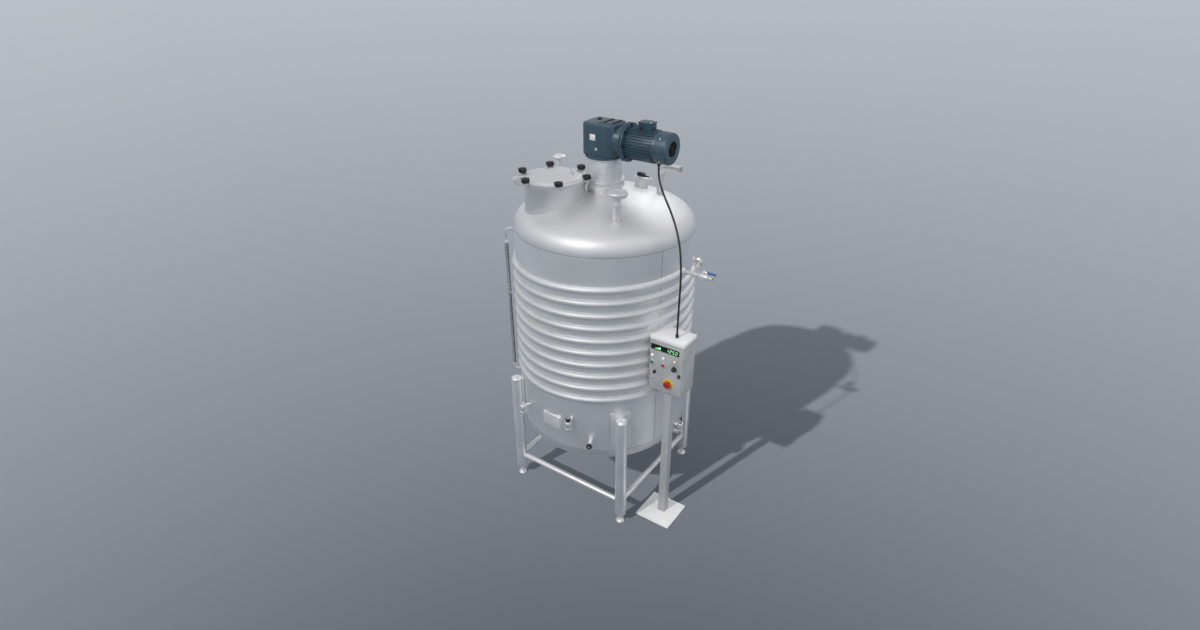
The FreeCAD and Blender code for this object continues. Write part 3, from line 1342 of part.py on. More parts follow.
def make_sample_valves():
    valves = []
    inside = shell_radius - shell_wall
    for angle, level in ((middle_angle, middle_level), (left_angle, left_level)):
        pipe = rod("sample_pipe", sample_pipe, inside, sample_offset, 0, 0, level, "x")
        body = rod("sample_body", sample_body, level - sample_body * 2.4, level + sample_body * 0.5,
                   sample_offset)
        spout = cone("sample_spout", sample_pipe * 0.8, sample_body, level - sample_body * 3.2,
                     level - sample_body * 2.4, sample_offset)
        stem = rod("sample_stem", sample_stem, level, level + sample_body * 0.5 + sample_knob_depth,
                   sample_offset)
        valves.append(turned_about(fuse("sample", pipe, body, spout, stem), angle))
    pipe = rod("tap_body", sample_pipe * 1.3, shell_radius, sample_offset + 10, 0, 0, right_level, "x")
    tail = rod("tap_tail", sample_pipe, inside, shell_radius + 10, 0, 0, right_level, "x")
    spout = rod("tap_spout", sample_pipe * 0.7, right_level - 40, right_level, sample_offset - 10)
    stem = rod("tap_stem", sample_stem, sample_offset + 10, sample_offset + 32, 0, 0, right_level, "x")
    valves.append(turned_about(fuse("tap", pipe, tail, spout, stem), right_angle))
    node("sample_valves", group("samples", *valves))

    low = middle_level + sample_body * 0.5 + seat_gap
    knob = rod("sample_grip", sample_knob_radius, low, low + sample_knob_depth, sample_offset)
    bore = rod("sample_bore", sample_stem + fit, low - 1, low + sample_knob_depth + 1, sample_offset)
    node("sample_knob_1", cut("knob_one", knob, bore), middle_angle)
    low = left_level + sample_body * 0.5 + seat_gap
    hub = rod("wing_grip_hub", sample_stem + 6, low, low + sample_knob_depth * 0.7, sample_offset)
    wing = block("wing_grip", sample_offset - 4, sample_offset + 4, -14, 62, low,
                 low + sample_knob_depth * 0.6)
    bore = rod("wing_grip_bore", sample_stem + fit, low - 1, low + sample_knob_depth, sample_offset)
    node("sample_knob_2", cut("knob_two", fuse("wing_grip_whole", hub, wing), bore), left_angle)
    start = sample_offset + 10 + seat_gap
    knob = rod("tap_grip", right_knob_radius, start, start + sample_knob_depth, 0, 0, right_level, "x")
    bore = rod("tap_bore", sample_stem + fit, start - 1, start + sample_knob_depth + 1, 0, 0,
               right_level, "x")
    node("sample_knob_3", cut("knob_three", knob, bore), right_angle)


# Control stand

door_front = box_front - door_gap - door_depth
hinge_x = box_right + door_barrel
hinge_y = box_front - door_gap - door_depth / 2
barrel_levels = (box_low + barrel_inset, box_high - barrel_inset - barrel_length * 2)


def make_stand():
    half = stand_plate / 2
    plate = block("base_plate", stand_centre_x - half, stand_centre_x + half, stand_centre_y - half,
                  stand_centre_y + half, 0, stand_plate_depth)
    side = post_width / 2
    inner = side - post_wall
    outer = block("post_outer", post_x - side, post_x + side, post_y - side, post_y + side,
                  stand_plate_depth, box_low)
    room = block("post_room", post_x - inner, post_x + inner, post_y - inner, post_y + inner,
                 stand_plate_depth, box_low)
    node("control_stand", fuse("stand", plate, cut("post", outer, room)))


def box_plan(grow):
    """Plan of the enclosure: its back left side is cut away beside the coil."""
    return [(box_left - grow, box_front - grow), (box_right + grow, box_front - grow),
            (box_right + grow, box_back + grow), (box_left + box_cut - grow, box_back + grow)]


def make_box():
    shell = seat(group("box_place", padded("box_outer", box_plan(0), box_high - box_low)), 0, 0, box_low)
    hollow = padded("box_room", box_plan(-box_wall), box_high - box_low - box_wall * 2)
    room = seat(group("room_place", hollow), 0, 0, box_low + box_wall)
    mouth = block("box_mouth", box_left + 16, box_right - 14, box_front - 5, box_front + 20, box_low + 14,
                  box_high - 14)
    barrels = []
    for level in barrel_levels:
        barrels.append(rod("box_barrel", door_barrel, level, level + barrel_length, hinge_x, hinge_y))
        barrels.append(rod("box_pin", door_pin, level + barrel_length, level + barrel_length * 2 - 4,
                           hinge_x, hinge_y))
        barrels.append(block("box_leaf", box_right + 1, hinge_x, hinge_y, box_front + 1, level,
                             level + barrel_length))
        barrels.append(block("box_flap", box_right - 1, hinge_x, box_front, box_front + 14, level,
                             level + barrel_length))
    node("control_box", fuse("box", cut("box_hollow", shell, room, mouth), *barrels))
    points = [(box_left - lid_overhang, door_front - lid_overhang),
              (box_right + lid_overhang, door_front - lid_overhang),
              (box_right + lid_overhang, box_back + lid_overhang),
              (box_left + box_cut - lid_overhang, box_back + lid_overhang),
              (box_left - lid_overhang, box_front)]
    node("box_lid", seat(group("lid_place", padded("box_lid", points, lid_thickness)), 0, 0, box_high))


def on_door(name, radius, x, z, proud, deep):
    """A round piece square to the door, from proud of its face to deep behind it."""
    return rod(name, radius, door_front - proud, door_front + deep, x, 0, z, "y")


button_x = (column_left, column_left + column_pitch)
speed_x = column_left + column_pitch * 2


def make_door():
    tray = block("door_tray", box_left, box_right, door_front, box_front - door_gap, box_low + 2,
                 box_high - 2)
    room = block("door_room", box_left + 4, box_right - 4, door_front + door_sheet, box_front, box_low + 6,
                 box_high - 6)
    holes = [on_door("button_hole", button_radius + fit, x, button_row, 5, 6) for x in button_x]
    bezels = []
    for x in button_x:
        bezels.append(cut("bezel", on_door("bezel_ring", bezel_radius, x, button_row, bezel_depth, 0),
                          on_door("bezel_bore", button_radius + fit, x, button_row, bezel_depth + 1, 1)))
    spots = ((selector_left_x, selector_left_z), (selector_right_x, selector_right_z), (speed_x, button_row))
    for x, z in spots:
        holes.append(on_door("spindle_hole", spindle + fit, x, z, 5, 6))
    holes.append(on_door("estop_hole", estop_stem + fit, estop_x, estop_z, 5, 6))
    collar = cut("collar", on_door("collar_disc", collar_radius, estop_x, estop_z, collar_depth, 0),
                 on_door("collar_bore", estop_stem + fit, estop_x, estop_z, collar_depth + 1, 1))
    barrels, bores = [], []
    for level in barrel_levels:
        start = level + barrel_length + seat_gap
        barrels.append(rod("door_barrel", door_barrel, start, start + barrel_length, hinge_x, hinge_y))
        barrels.append(block("door_leaf", box_right - 2, hinge_x, hinge_y - 3, hinge_y + 3, start,
                             start + barrel_length))
        bores.append(rod("door_bore", door_pin + fit, start - 1, start + barrel_length - 3, hinge_x, hinge_y))
    whole = fuse("door_whole", cut("door_cut", tray, room), *bezels, collar, *barrels)
    door = cut("door", whole, *holes, *bores)
    node("control_door", door)
    display = block("display", display_left, display_left + display_width, door_front - display_depth,
                    door_front, display_low, display_low + display_height)
    lamps = [on_door("pilot", lamp_radius, column_left + column_pitch * index, lamp_row, lamp_depth, 0)
             for index in range(3)]
    node("door_indicators", group("indicators", display, *lamps))


def make_controls():
    for name, x in zip(("start_button", "stop_button"), button_x):
        cap = on_door(name, button_radius, x, button_row, button_height, door_sheet + 2)
        node(name, cap)
    knobs = (
        ("selector_left", selector_left_x, selector_left_z, selector_radius, selector_height),
        ("selector_right", selector_right_x, selector_right_z, selector_radius, selector_height),
    )
    for name, x, z, radius, height in knobs:
        base = rod(name + "_base", radius, door_front - height * 0.45, door_front - seat_gap, x, 0, z, "y")
        grip = block(name + "_grip", x - radius * 0.3, x + radius * 0.3, door_front - height,
                     door_front - seat_gap, z - radius, z + radius * 1.2)
        pin = on_door(name + "_pin", spindle, x, z, 1, door_sheet + 3)
        node(name, fuse(name + "_whole", base, grip, pin))
    base = rod("speed_base", speed_radius, door_front - speed_height, door_front - seat_gap, speed_x, 0,
               button_row, "y")
    mark = block("speed_mark", speed_x - 1.5, speed_x + 1.5, door_front - speed_height - 1,
                 door_front - speed_height / 2, button_row + 4, button_row + speed_radius)
    node("speed_knob", fuse("speed", base, mark, on_door("speed_pin", spindle, speed_x, button_row, 1,
                                                         door_sheet + 3)))
    stem = on_door("estop_stem", estop_stem, estop_x, estop_z, estop_height - estop_head, door_sheet + 3)
    head = rod("estop_head", estop_radius, door_front - estop_height, door_front - estop_height + estop_head,
               estop_x, 0, estop_z, "y")
    node("estop_button", fuse("estop", stem, head))


# Motor cable: hand-set route from the gland under the motor to the gland on the control box

gland_x = frame_right - rear_ring / 2 - 2
motor_gland_low = motor_level - frame_core - gland_length
box_gland_high = box_high + lid_thickness + gland_length


def make_glands():
    upper = cut("motor_gland", rod("gland_motor", gland_radius, motor_gland_low, motor_level, gland_x),
                rod("gland_trim", frame_core, 0, cover_right, 0, 0, motor_level, "x"))
    lower = rod("gland_box", gland_radius, box_high + lid_thickness, box_gland_high, box_gland_x, box_gland_y)
    node("cable_glands", group("glands", upper, lower))


def cable_route():
    start = FreeCAD.Vector(number(gland_x), 0, number(motor_gland_low))
    end = FreeCAD.Vector(number(box_gland_x), number(box_gland_y), number(box_gland_high))
    middle = [
        (445, 0, 2742),
        (490, -34, 2664),
        (566, -92, 2606),
        (650, -158, 2548),
        (726, -216, 2468),
        (778, -254, 2366),
        (802, -272, 2248),
        (810, -278, 2112),
        (806, -275, 1976),
        (805, -274, 1850),
    ]
    return [start] + [FreeCAD.Vector(*point) for point in middle] + [end]


def rounded_path(points):
    """Straight runs joined by the largest arcs that the runs allow; returns the wire and the radii."""
    edges, radii = [], []
    start = points[0]
    for before, corner, after in zip(points, points[1:], points[2:]):
        arriving = corner - before
        leaving = after - corner
        shorter = min(arriving.Length, leaving.Length)
        turn = arriving.getAngle(leaving)
        reach = 0.45 * shorter
        enter = corner - FreeCAD.Vector(arriving).normalize() * reach
        leave = corner + FreeCAD.Vector(leaving).normalize() * reach
        radius = reach / math.tan(turn / 2)
        radii.append(round(radius, 1))
        inward = ((enter + leave) * 0.5 - corner).normalize()
        middle = corner + inward * (radius / math.cos(turn / 2) - radius)
        edges.append(Part.LineSegment(start, enter).toShape())
        edges.append(Part.Arc(enter, middle, leave).toShape())
        start = leave
    edges.append(Part.LineSegment(start, points[-1]).toShape())
    return Part.Wire(edges), radii


def make_cable():
    points = cable_route()
    path, radii = rounded_path(points)
    ring = Part.Wire(Part.makeCircle(number(cable_radius), points[0], points[1] - points[0]))
    cable = path.makePipeShell([ring], True, False)
    expected = math.pi * number(cable_radius) ** 2 * path.Length
    print(f"cable radii {radii}, length {path.Length:.0f}, volume ratio {cable.Volume / expected:.4f}")
    node("motor_cable", solid("cable", cable))


for build in (make_shell, make_heads, make_coil, make_legs, make_braces, make_neck, make_hinge, make_lid,
              make_clamps, make_agitator, make_steady_bearing, make_gear_housing, make_motor, make_nozzles,
              make_wash_pipe, make_level_gauge, make_name_plate, make_jacket_pipes, make_dial,
              make_drain_valve, make_sample_valves, make_stand, make_box, make_door, make_controls,
              make_glands, make_cable):
    build()
doc.recompute()


# The origin goes on the floor under the middle of the machine, cable left out

bounds = FreeCAD.BoundBox()
for name, (holder, angle) in nodes.items():
    turn = FreeCAD.Placement(FreeCAD.Vector(), FreeCAD.Rotation(FreeCAD.Vector(0, 0, 1), angle))
    holder.Placement = turn
    if name != "motor_cable":
        bounds.add(holder.Shape.optimalBoundingBox(False))
shift = FreeCAD.Vector(-bounds.Center.x, -bounds.Center.y, -bounds.ZMin)
for holder, angle in nodes.values():
    holder.Placement = FreeCAD.Placement(shift, holder.Placement.Rotation)
doc.recompute()

failed = [thing.Name for thing in doc.Objects if "Invalid" in thing.State or "Error" in thing.State]
for name, (holder, angle) in nodes.items():
    if holder.Shape.isNull() or not holder.Shape.isValid() or not holder.Shape.Solids:
        failed.append(name)
if failed:
    raise RuntimeError(f"these objects failed: {failed}")

os.makedirs("parts", exist_ok=True)
for name, (holder, angle) in nodes.items():
    holder.Shape.exportStep(f"parts/{name}.step")
print(f"tank axis at {shift.x:.3f}, {shift.y:.3f}; {len(nodes)} parts")
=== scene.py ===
# Mixing tank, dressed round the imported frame. Metres, Z up, the front faces -Y.
import bpy
import bmesh
import json
import math
from mathutils import Matrix, Vector

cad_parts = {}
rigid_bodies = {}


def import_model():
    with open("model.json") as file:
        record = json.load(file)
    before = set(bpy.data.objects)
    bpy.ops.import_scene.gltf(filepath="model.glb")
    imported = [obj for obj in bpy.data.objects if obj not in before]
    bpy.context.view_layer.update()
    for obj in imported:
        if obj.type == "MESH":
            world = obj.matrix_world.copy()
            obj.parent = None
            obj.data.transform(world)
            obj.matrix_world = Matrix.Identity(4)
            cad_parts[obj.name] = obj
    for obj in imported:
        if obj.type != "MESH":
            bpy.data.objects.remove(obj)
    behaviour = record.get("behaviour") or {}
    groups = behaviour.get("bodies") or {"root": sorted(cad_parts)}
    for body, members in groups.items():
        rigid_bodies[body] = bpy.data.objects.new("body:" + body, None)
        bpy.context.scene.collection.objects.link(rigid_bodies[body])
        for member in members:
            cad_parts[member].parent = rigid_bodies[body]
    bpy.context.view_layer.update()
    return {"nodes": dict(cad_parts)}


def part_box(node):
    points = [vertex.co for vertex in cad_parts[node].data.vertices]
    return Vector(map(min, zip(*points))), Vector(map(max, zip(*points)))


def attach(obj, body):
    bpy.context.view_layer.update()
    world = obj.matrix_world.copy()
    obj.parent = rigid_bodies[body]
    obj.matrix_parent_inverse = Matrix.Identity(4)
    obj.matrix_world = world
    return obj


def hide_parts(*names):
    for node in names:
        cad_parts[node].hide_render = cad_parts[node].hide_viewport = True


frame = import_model()
cadNodes = frame["nodes"]
scene = bpy.context.scene
print("frame loaded")


# Places read from the frame

def middle(node):
    low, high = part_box(node)
    return (low + high) / 2


shellLow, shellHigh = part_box("tank_shell")
tankAxis = Vector((middle("tank_shell").x, middle("tank_shell").y, 0))
shellRadius = (shellHigh.x - shellLow.x) / 2
headTop = {"crown": 1.350, "knuckle": 0.135, "weld": shellHigh.z}


def around(radius, degrees, height):
    # a place round the tank, at an angle counted from +X towards +Y
    turn = math.radians(degrees)
    return tankAxis + Vector((radius * math.cos(turn), radius * math.sin(turn), height))


def facing(degrees, place):
    # a frame at a place round the tank: X points outwards and Z stays up
    return Matrix.Translation(place) @ Matrix.Rotation(math.radians(degrees), 4, "Z")


def circlePoints(radius, count):
    # (x, y) of places evenly round a circle, from +X towards +Y
    turns = [2 * math.pi * k / count for k in range(count)]
    return [(radius * math.cos(turn), radius * math.sin(turn)) for turn in turns]


def domeHeight(offset):
    # the level of the dome's skin at a distance from the tank's axis
    inner = headTop["crown"] - headTop["knuckle"]
    bend = shellRadius - headTop["knuckle"]
    drop = math.sqrt(inner * inner - bend * bend)
    return headTop["weld"] - drop + math.sqrt(headTop["crown"] ** 2 - offset * offset)


# Shader groups that several finishes share

def shaderGroup(name, inputs, outputs):
    group = bpy.data.node_groups.new(name, "ShaderNodeTree")
    for socketName, kind, value in inputs:
        socket = group.interface.new_socket(socketName, in_out="INPUT", socket_type=kind)
        socket.default_value = value
    for socketName, kind in outputs:
        group.interface.new_socket(socketName, in_out="OUTPUT", socket_type=kind)
    start = group.nodes.new("NodeGroupInput")
    end = group.nodes.new("NodeGroupOutput")
    return group, start, end


def mathNode(tree, operation, first, second=None):
    node = tree.nodes.new("ShaderNodeMath")
    node.operation = operation
    for index, value in enumerate((first, second)):
        if value is None:
            continue
        if isinstance(value, (int, float)):
            node.inputs[index].default_value = value
        else:
            tree.links.new(value, node.inputs[index])
    return node.outputs[0]


def remap(tree, value, fromLow, fromHigh, toLow, toHigh):
    node = tree.nodes.new("ShaderNodeMapRange")
    node.inputs["From Min"].default_value = fromLow
    node.inputs["From Max"].default_value = fromHigh
    node.inputs["To Min"].default_value = toLow
    node.inputs["To Max"].default_value = toHigh
    tree.links.new(value, node.inputs["Value"])
    return node.outputs["Result"]


def buildHoopGrain():
    # lines that run round the tank's axis, as rolling and polishing leave them
    group, start, end = shaderGroup("hoopGrain", [
        ("Centre", "NodeSocketVector", (0, 0, 0)), ("Fine", "NodeSocketFloat", 700.0),
        ("Slow", "NodeSocketFloat", 5.0)], [("Value", "NodeSocketFloat")])
    place = group.nodes.new("ShaderNodeTexCoord")
    offset = group.nodes.new("ShaderNodeVectorMath")
    offset.operation = "SUBTRACT"
    group.links.new(place.outputs["Object"], offset.inputs[0])
    group.links.new(start.outputs["Centre"], offset.inputs[1])
    split = group.nodes.new("ShaderNodeSeparateXYZ")
    group.links.new(offset.outputs[0], split.inputs[0])
    squareX = mathNode(group, "MULTIPLY", split.outputs["X"], split.outputs["X"])
    squareY = mathNode(group, "MULTIPLY", split.outputs["Y"], split.outputs["Y"])
    radius = mathNode(group, "SQRT", mathNode(group, "ADD", squareX, squareY))
    across = mathNode(group, "ADD", radius, split.outputs["Z"])
    fine = mathNode(group, "MULTIPLY", across, start.outputs["Fine"])
    join = group.nodes.new("ShaderNodeCombineXYZ")
    group.links.new(mathNode(group, "MULTIPLY", split.outputs["X"], start.outputs["Slow"]), join.inputs["X"])
    group.links.new(mathNode(group, "MULTIPLY", split.outputs["Y"], start.outputs["Slow"]), join.inputs["Y"])
    group.links.new(fine, join.inputs["Z"])
    noise = group.nodes.new("ShaderNodeTexNoise")
    noise.inputs["Scale"].default_value = 1.0
    noise.inputs["Detail"].default_value = 3.0
    group.links.new(join.outputs[0], noise.inputs["Vector"])
    group.links.new(remap(group, noise.outputs["Fac"], 0.3, 0.7, 0.0, 1.0), end.inputs["Value"])
    return group


def buildStretchedGrain():
    # noise stretched along one axis: brushed flats, drawn bar, moulded grain, soft unevenness
    group, start, end = shaderGroup("stretchedGrain", [
        ("Stretch", "NodeSocketVector", (1, 1, 1)), ("Detail", "NodeSocketFloat", 3.0)],
        [("Value", "NodeSocketFloat")])
    place = group.nodes.new("ShaderNodeTexCoord")
    scale = group.nodes.new("ShaderNodeVectorMath")
    scale.operation = "MULTIPLY"
    group.links.new(place.outputs["Object"], scale.inputs[0])
    group.links.new(start.outputs["Stretch"], scale.inputs[1])
    noise = group.nodes.new("ShaderNodeTexNoise")
    noise.inputs["Scale"].default_value = 1.0
    group.links.new(scale.outputs[0], noise.inputs["Vector"])
    group.links.new(start.outputs["Detail"], noise.inputs["Detail"])
    group.links.new(remap(group, noise.outputs["Fac"], 0.3, 0.7, 0.0, 1.0), end.inputs["Value"])
    return group


def buildScuffs():
    # thin crossing scratches, as a mask
    group, start, end = shaderGroup("scuffs", [
        ("Scale", "NodeSocketFloat", 14.0), ("Amount", "NodeSocketFloat", 0.5)],
        [("Mask", "NodeSocketFloat")])
    place = group.nodes.new("ShaderNodeTexCoord")
    masks = []
    for turn in (0.5, 1.9):
        mapping = group.nodes.new("ShaderNodeMapping")
        mapping.inputs["Rotation"].default_value = (turn, turn * 0.7, turn * 1.3)
        mapping.inputs["Scale"].default_value = (1.0, 26.0, 3.0)
        group.links.new(place.outputs["Object"], mapping.inputs["Vector"])
        noise = group.nodes.new("ShaderNodeTexNoise")
        noise.inputs["Detail"].default_value = 2.0
        group.links.new(mapping.outputs[0], noise.inputs["Vector"])
        group.links.new(start.outputs["Scale"], noise.inputs["Scale"])
        masks.append(remap(group, noise.outputs["Fac"], 0.68, 0.74, 0.0, 1.0))
    both = mathNode(group, "MAXIMUM", masks[0], masks[1])
    group.links.new(mathNode(group, "MULTIPLY", both, start.outputs["Amount"]), end.inputs["Mask"])
    return group


hoopGrain = buildHoopGrain()
stretchedGrain = buildStretchedGrain()
scuffs = buildScuffs()


# Finishes, each kept under its name

finishes = {}


def useGroup(tree, group, **values):
    node = tree.nodes.new("ShaderNodeGroup")
    node.node_tree = group
    for name, value in values.items():
        node.inputs[name].default_value = value
    return node


def bareMaterial(name, colour, metallic, roughness, **more):
    material = bpy.data.materials.new(name)
    material.use_nodes = True
    tree = material.node_tree
    shader = tree.nodes["Principled BSDF"]
    shader.inputs["Base Color"].default_value = (*colour, 1)
    shader.inputs["Metallic"].default_value = metallic
    shader.inputs["Roughness"].default_value = roughness
    for socket, value in more.items():
        shader.inputs[socket.replace("_", " ")].default_value = value
    finishes[name] = material
    return tree, shader


def mixColours(tree, factor, low, high):
    node = tree.nodes.new("ShaderNodeMix")
    node.data_type = "RGBA"
    tree.links.new(factor, node.inputs[0])
    for index, colour in ((6, low), (7, high)):
        node.inputs[index].default_value = (*colour, 1)
    return node.outputs[2]


def shade(colour, amount):
    return tuple(min(1.0, channel * amount) for channel in colour)


def finishSurface(tree, shader, grain, spots, colour, contrast, roughLow, roughHigh, bump):
    # colour drifts with the slow spots, roughness with grain and scuffs, and the grain is a fine relief
    tree.links.new(mixColours(tree, spots, shade(colour, 1 - contrast), shade(colour, 1 + contrast)),
                   shader.inputs["Base Color"])
    marks = useGroup(tree, scuffs)
    blend = mathNode(tree, "ADD", mathNode(tree, "MULTIPLY", grain, 0.6),
                     mathNode(tree, "MULTIPLY", spots, 0.4))
    rough = remap(tree, blend, 0.0, 1.0, roughLow, roughHigh)
    worn = mathNode(tree, "ADD", rough, mathNode(tree, "MULTIPLY", marks.outputs["Mask"], 0.12))
    tree.links.new(worn, shader.inputs["Roughness"])
    relief = tree.nodes.new("ShaderNodeBump")
    relief.inputs["Strength"].default_value = bump["strength"]
    relief.inputs["Distance"].default_value = bump["depth"]
    tree.links.new(grain, relief.inputs["Height"])
    tree.links.new(relief.outputs["Normal"], shader.inputs["Normal"])


def hoopSteel(name, colour, roughLow, roughHigh, fine=650.0, strength=0.25, metallic=1.0):
    tree, shader = bareMaterial(name, colour, metallic, roughLow)
    grain = useGroup(tree, hoopGrain, Centre=tuple(tankAxis), Fine=fine)
    spots = useGroup(tree, stretchedGrain, Stretch=(2.1, 2.1, 3.3), Detail=2.0)
    finishSurface(tree, shader, grain.outputs["Value"], spots.outputs["Value"], colour, 0.05,
                  roughLow, roughHigh, {"strength": strength, "depth": 0.0002})


def grainedMaterial(name, colour, metallic, roughLow, roughHigh, stretch, contrast=0.05, strength=0.3,
                    depth=0.0003, spotStretch=(6, 6, 6), **more):
    tree, shader = bareMaterial(name, colour, metallic, roughLow, **more)
    grain = useGroup(tree, stretchedGrain, Stretch=stretch)
    spots = useGroup(tree, stretchedGrain, Stretch=spotStretch, Detail=2.0)
    finishSurface(tree, shader, grain.outputs["Value"], spots.outputs["Value"], colour, contrast,
                  roughLow, roughHigh, {"strength": strength, "depth": depth})


def lightMaterial(name, colour, strength, roughness):
    shader = bareMaterial(name, colour, 0.0, roughness)[1]
    shader.inputs["Emission Color"].default_value = (*colour, 1)
    shader.inputs["Emission Strength"].default_value = strength
    shader.inputs["Coat Weight"].default_value = 0.5


# the shell's steel is a paler copy of the steel of the dome, neck and lower dish: painted light on the
# upright walls, which the lamps and the floor leave darker
hoopSteel("shellSteel", (0.86, 0.875, 0.89), 0.46, 0.56, metallic=0.88)
hoopSteel("domeSteel", (0.80, 0.81, 0.82), 0.47, 0.55, 500.0, 0.15, 0.95)
grainedMaterial("coilSteel", (0.80, 0.81, 0.82), 0.86, 0.50, 0.58, (30, 30, 160), 0.03, 0.12)
grainedMaterial("frameSteel", (0.93, 0.94, 0.95), 0.82, 0.42, 0.52, (420, 420, 12))
grainedMaterial("braceSteel", (0.76, 0.77, 0.78), 0.62, 0.46, 0.56, (60, 60, 300))
hoopSteel("lidSteel", (0.73, 0.74, 0.755), 0.47, 0.55, 500.0, 0.15, 0.95)
grainedMaterial("lanternSteel", (0.72, 0.735, 0.75), 0.86, 0.46, 0.54, (40, 40, 300))
grainedMaterial("barSteel", (0.86, 0.87, 0.88), 0.82, 0.40, 0.48, (40, 40, 300))
grainedMaterial("brightSteel", (0.86, 0.87, 0.88), 1.0, 0.22, 0.34, (160, 160, 160), strength=0.12,
                depth=0.0001)
grainedMaterial("weldSteel", (0.66, 0.66, 0.65), 1.0, 0.34, 0.52, (120, 120, 120), 0.16)
grainedMaterial("castSteel", (0.84, 0.845, 0.85), 0.9, 0.46, 0.56, (260, 260, 260), strength=0.2)
grainedMaterial("seamSteel", (0.30, 0.31, 0.32), 1.0, 0.40, 0.58, (120, 120, 120), 0.20)
grainedMaterial("gearPaint", (0.032, 0.070, 0.101), 0.0, 0.34, 0.46, (520, 520, 520), 0.12, 0.35, 0.0004,
                Coat_Weight=0.08, Coat_Roughness=0.3)
grainedMaterial("knobPlastic", (0.010, 0.010, 0.011), 0.0, 0.34, 0.50, (900, 900, 900), 0.1)
grainedMaterial("boltBlack", (0.022, 0.026, 0.030), 0.6, 0.34, 0.50, (300, 300, 300), 0.12)
grainedMaterial("milkGlass", (0.62, 0.65, 0.66), 0.0, 0.05, 0.10, (20, 20, 20), 0.03, 0.02, Coat_Weight=0.6)
grainedMaterial("boxPaint", (0.41, 0.425, 0.435), 0.0, 0.36, 0.48, (700, 700, 700), 0.03, 0.25)
# a much paler copy of the box and post paint, for the faces that look up (the box's lid and the stand's
# plate): painted light on those tops
grainedMaterial("lidPaint", (0.88, 0.885, 0.88), 0.0, 0.34, 0.46, (700, 700, 700), 0.03, 0.25)
grainedMaterial("postPaint", (0.40, 0.42, 0.435), 0.0, 0.36, 0.50, (600, 600, 600), 0.04, 0.25)
grainedMaterial("whiteRubber", (0.72, 0.72, 0.68), 0.0, 0.50, 0.62, (300, 300, 300), 0.04)
grainedMaterial("blackRubber", (0.008, 0.008, 0.008), 0.0, 0.42, 0.55, (600, 600, 600), 0.2)
grainedMaterial("plateMetal", (0.87, 0.875, 0.87), 0.6, 0.34, 0.46, (30, 30, 700))
grainedMaterial("blueSleeve", (0.035, 0.12, 0.36), 0.0, 0.34, 0.46, (500, 500, 500), 0.08)
grainedMaterial("dialWhite", (0.78, 0.78, 0.76), 0.0, 0.40, 0.50, (400, 400, 400), 0.02)
grainedMaterial("dialInk", (0.012, 0.012, 0.012), 0.0, 0.45, 0.55, (400, 400, 400), 0.1)
grainedMaterial("greenCap", (0.015, 0.19, 0.075), 0.0, 0.22, 0.32, (400, 400, 400), 0.06)
grainedMaterial("redCap", (0.42, 0.010, 0.012), 0.0, 0.22, 0.34, (400, 400, 400), 0.06)
grainedMaterial("yellowDisc", (0.78, 0.50, 0.02), 0.0, 0.36, 0.46, (400, 400, 400), 0.04)
grainedMaterial("displayBlack", (0.006, 0.007, 0.007), 0.0, 0.10, 0.16, (60, 60, 60), 0.1, 0.05)
lightMaterial("digitGreen", (0.30, 0.86, 0.36), 1.0, 0.4)
grainedMaterial("digitDim", (0.012, 0.045, 0.020), 0.0, 0.30, 0.40, (200, 200, 200), 0.1)
lightMaterial("whiteLens", (0.85, 0.86, 0.84), 0.25, 0.25)
lightMaterial("amberLens", (0.80, 0.55, 0.25), 0.25, 0.25)
# a near-black for the shade inside things: the core in the level gauge's glass and the pane in the lamp's
# ring are painted shade
grainedMaterial("darkInside", (0.010, 0.012, 0.014), 0.0, 0.5, 0.7, (200, 200, 200), 0.2)
bareMaterial("gaugeGlass", (0.50, 0.53, 0.54), 0.0, 0.06, Transmission_Weight=0.85, IOR=1.46)
bareMaterial("dialGlass", (0.98, 0.99, 0.99), 0.0, 0.03, Transmission_Weight=1.0, IOR=1.45)
print(f"{len(finishes)} finishes made")


# Making and placing pieces

def plainMesh(source, name):
    # the evaluated shape of an object as a new mesh with no modifiers
    graph = bpy.context.evaluated_depsgraph_get()
    graph.update()
    mesh = bpy.data.meshes.new_from_object(source.evaluated_get(graph))
    mesh.name = name
    return mesh


def linkPiece(name, mesh, finish=None):
    piece = bpy.data.objects.new(name, mesh)
    scene.collection.objects.link(piece)
    if finish:
        mesh.materials.clear()
        mesh.materials.append(finishes[finish])
    return piece


def softenEdges(mesh, width, segments=2, limit=35):
    # rounds the corners of a mesh and smooths what lies between them
    holder = bpy.data.objects.new("holder", mesh)
    scene.collection.objects.link(holder)
    if width:
        bevel = holder.modifiers.new("round", "BEVEL")
        bevel.width = width
        bevel.segments = segments
        bevel.limit_method = "ANGLE"
        bevel.angle_limit = math.radians(limit)
    made = plainMesh(holder, mesh.name)
    bpy.data.objects.remove(holder)
    smoothByAngle(made, limit)
    return made


def smoothByAngle(mesh, limit=35):
    # smooth faces, with the edges that turn by more than the limit kept sharp
    form = bmesh.new()
    form.from_mesh(mesh)
    sharp = math.radians(limit)
    for face in form.faces:
        face.smooth = True
    for edge in form.edges:
        edge.smooth = len(edge.link_faces) == 2 and edge.calc_face_angle(0) < sharp
    form.to_mesh(mesh)
    form.free()


def finishPiece(name, mesh, finish, body, replaced=(), width=0.0, limit=35):
    mesh = softenEdges(mesh, width, limit=limit)
    piece = linkPiece(name, mesh, finish)
    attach(piece, body)
    if replaced:
        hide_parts(*replaced)
    return piece


def meshFrom(form, name):
    bmesh.ops.recalc_face_normals(form, faces=form.faces)
    mesh = bpy.data.meshes.new(name)
    form.to_mesh(mesh)
    form.free()
    return mesh


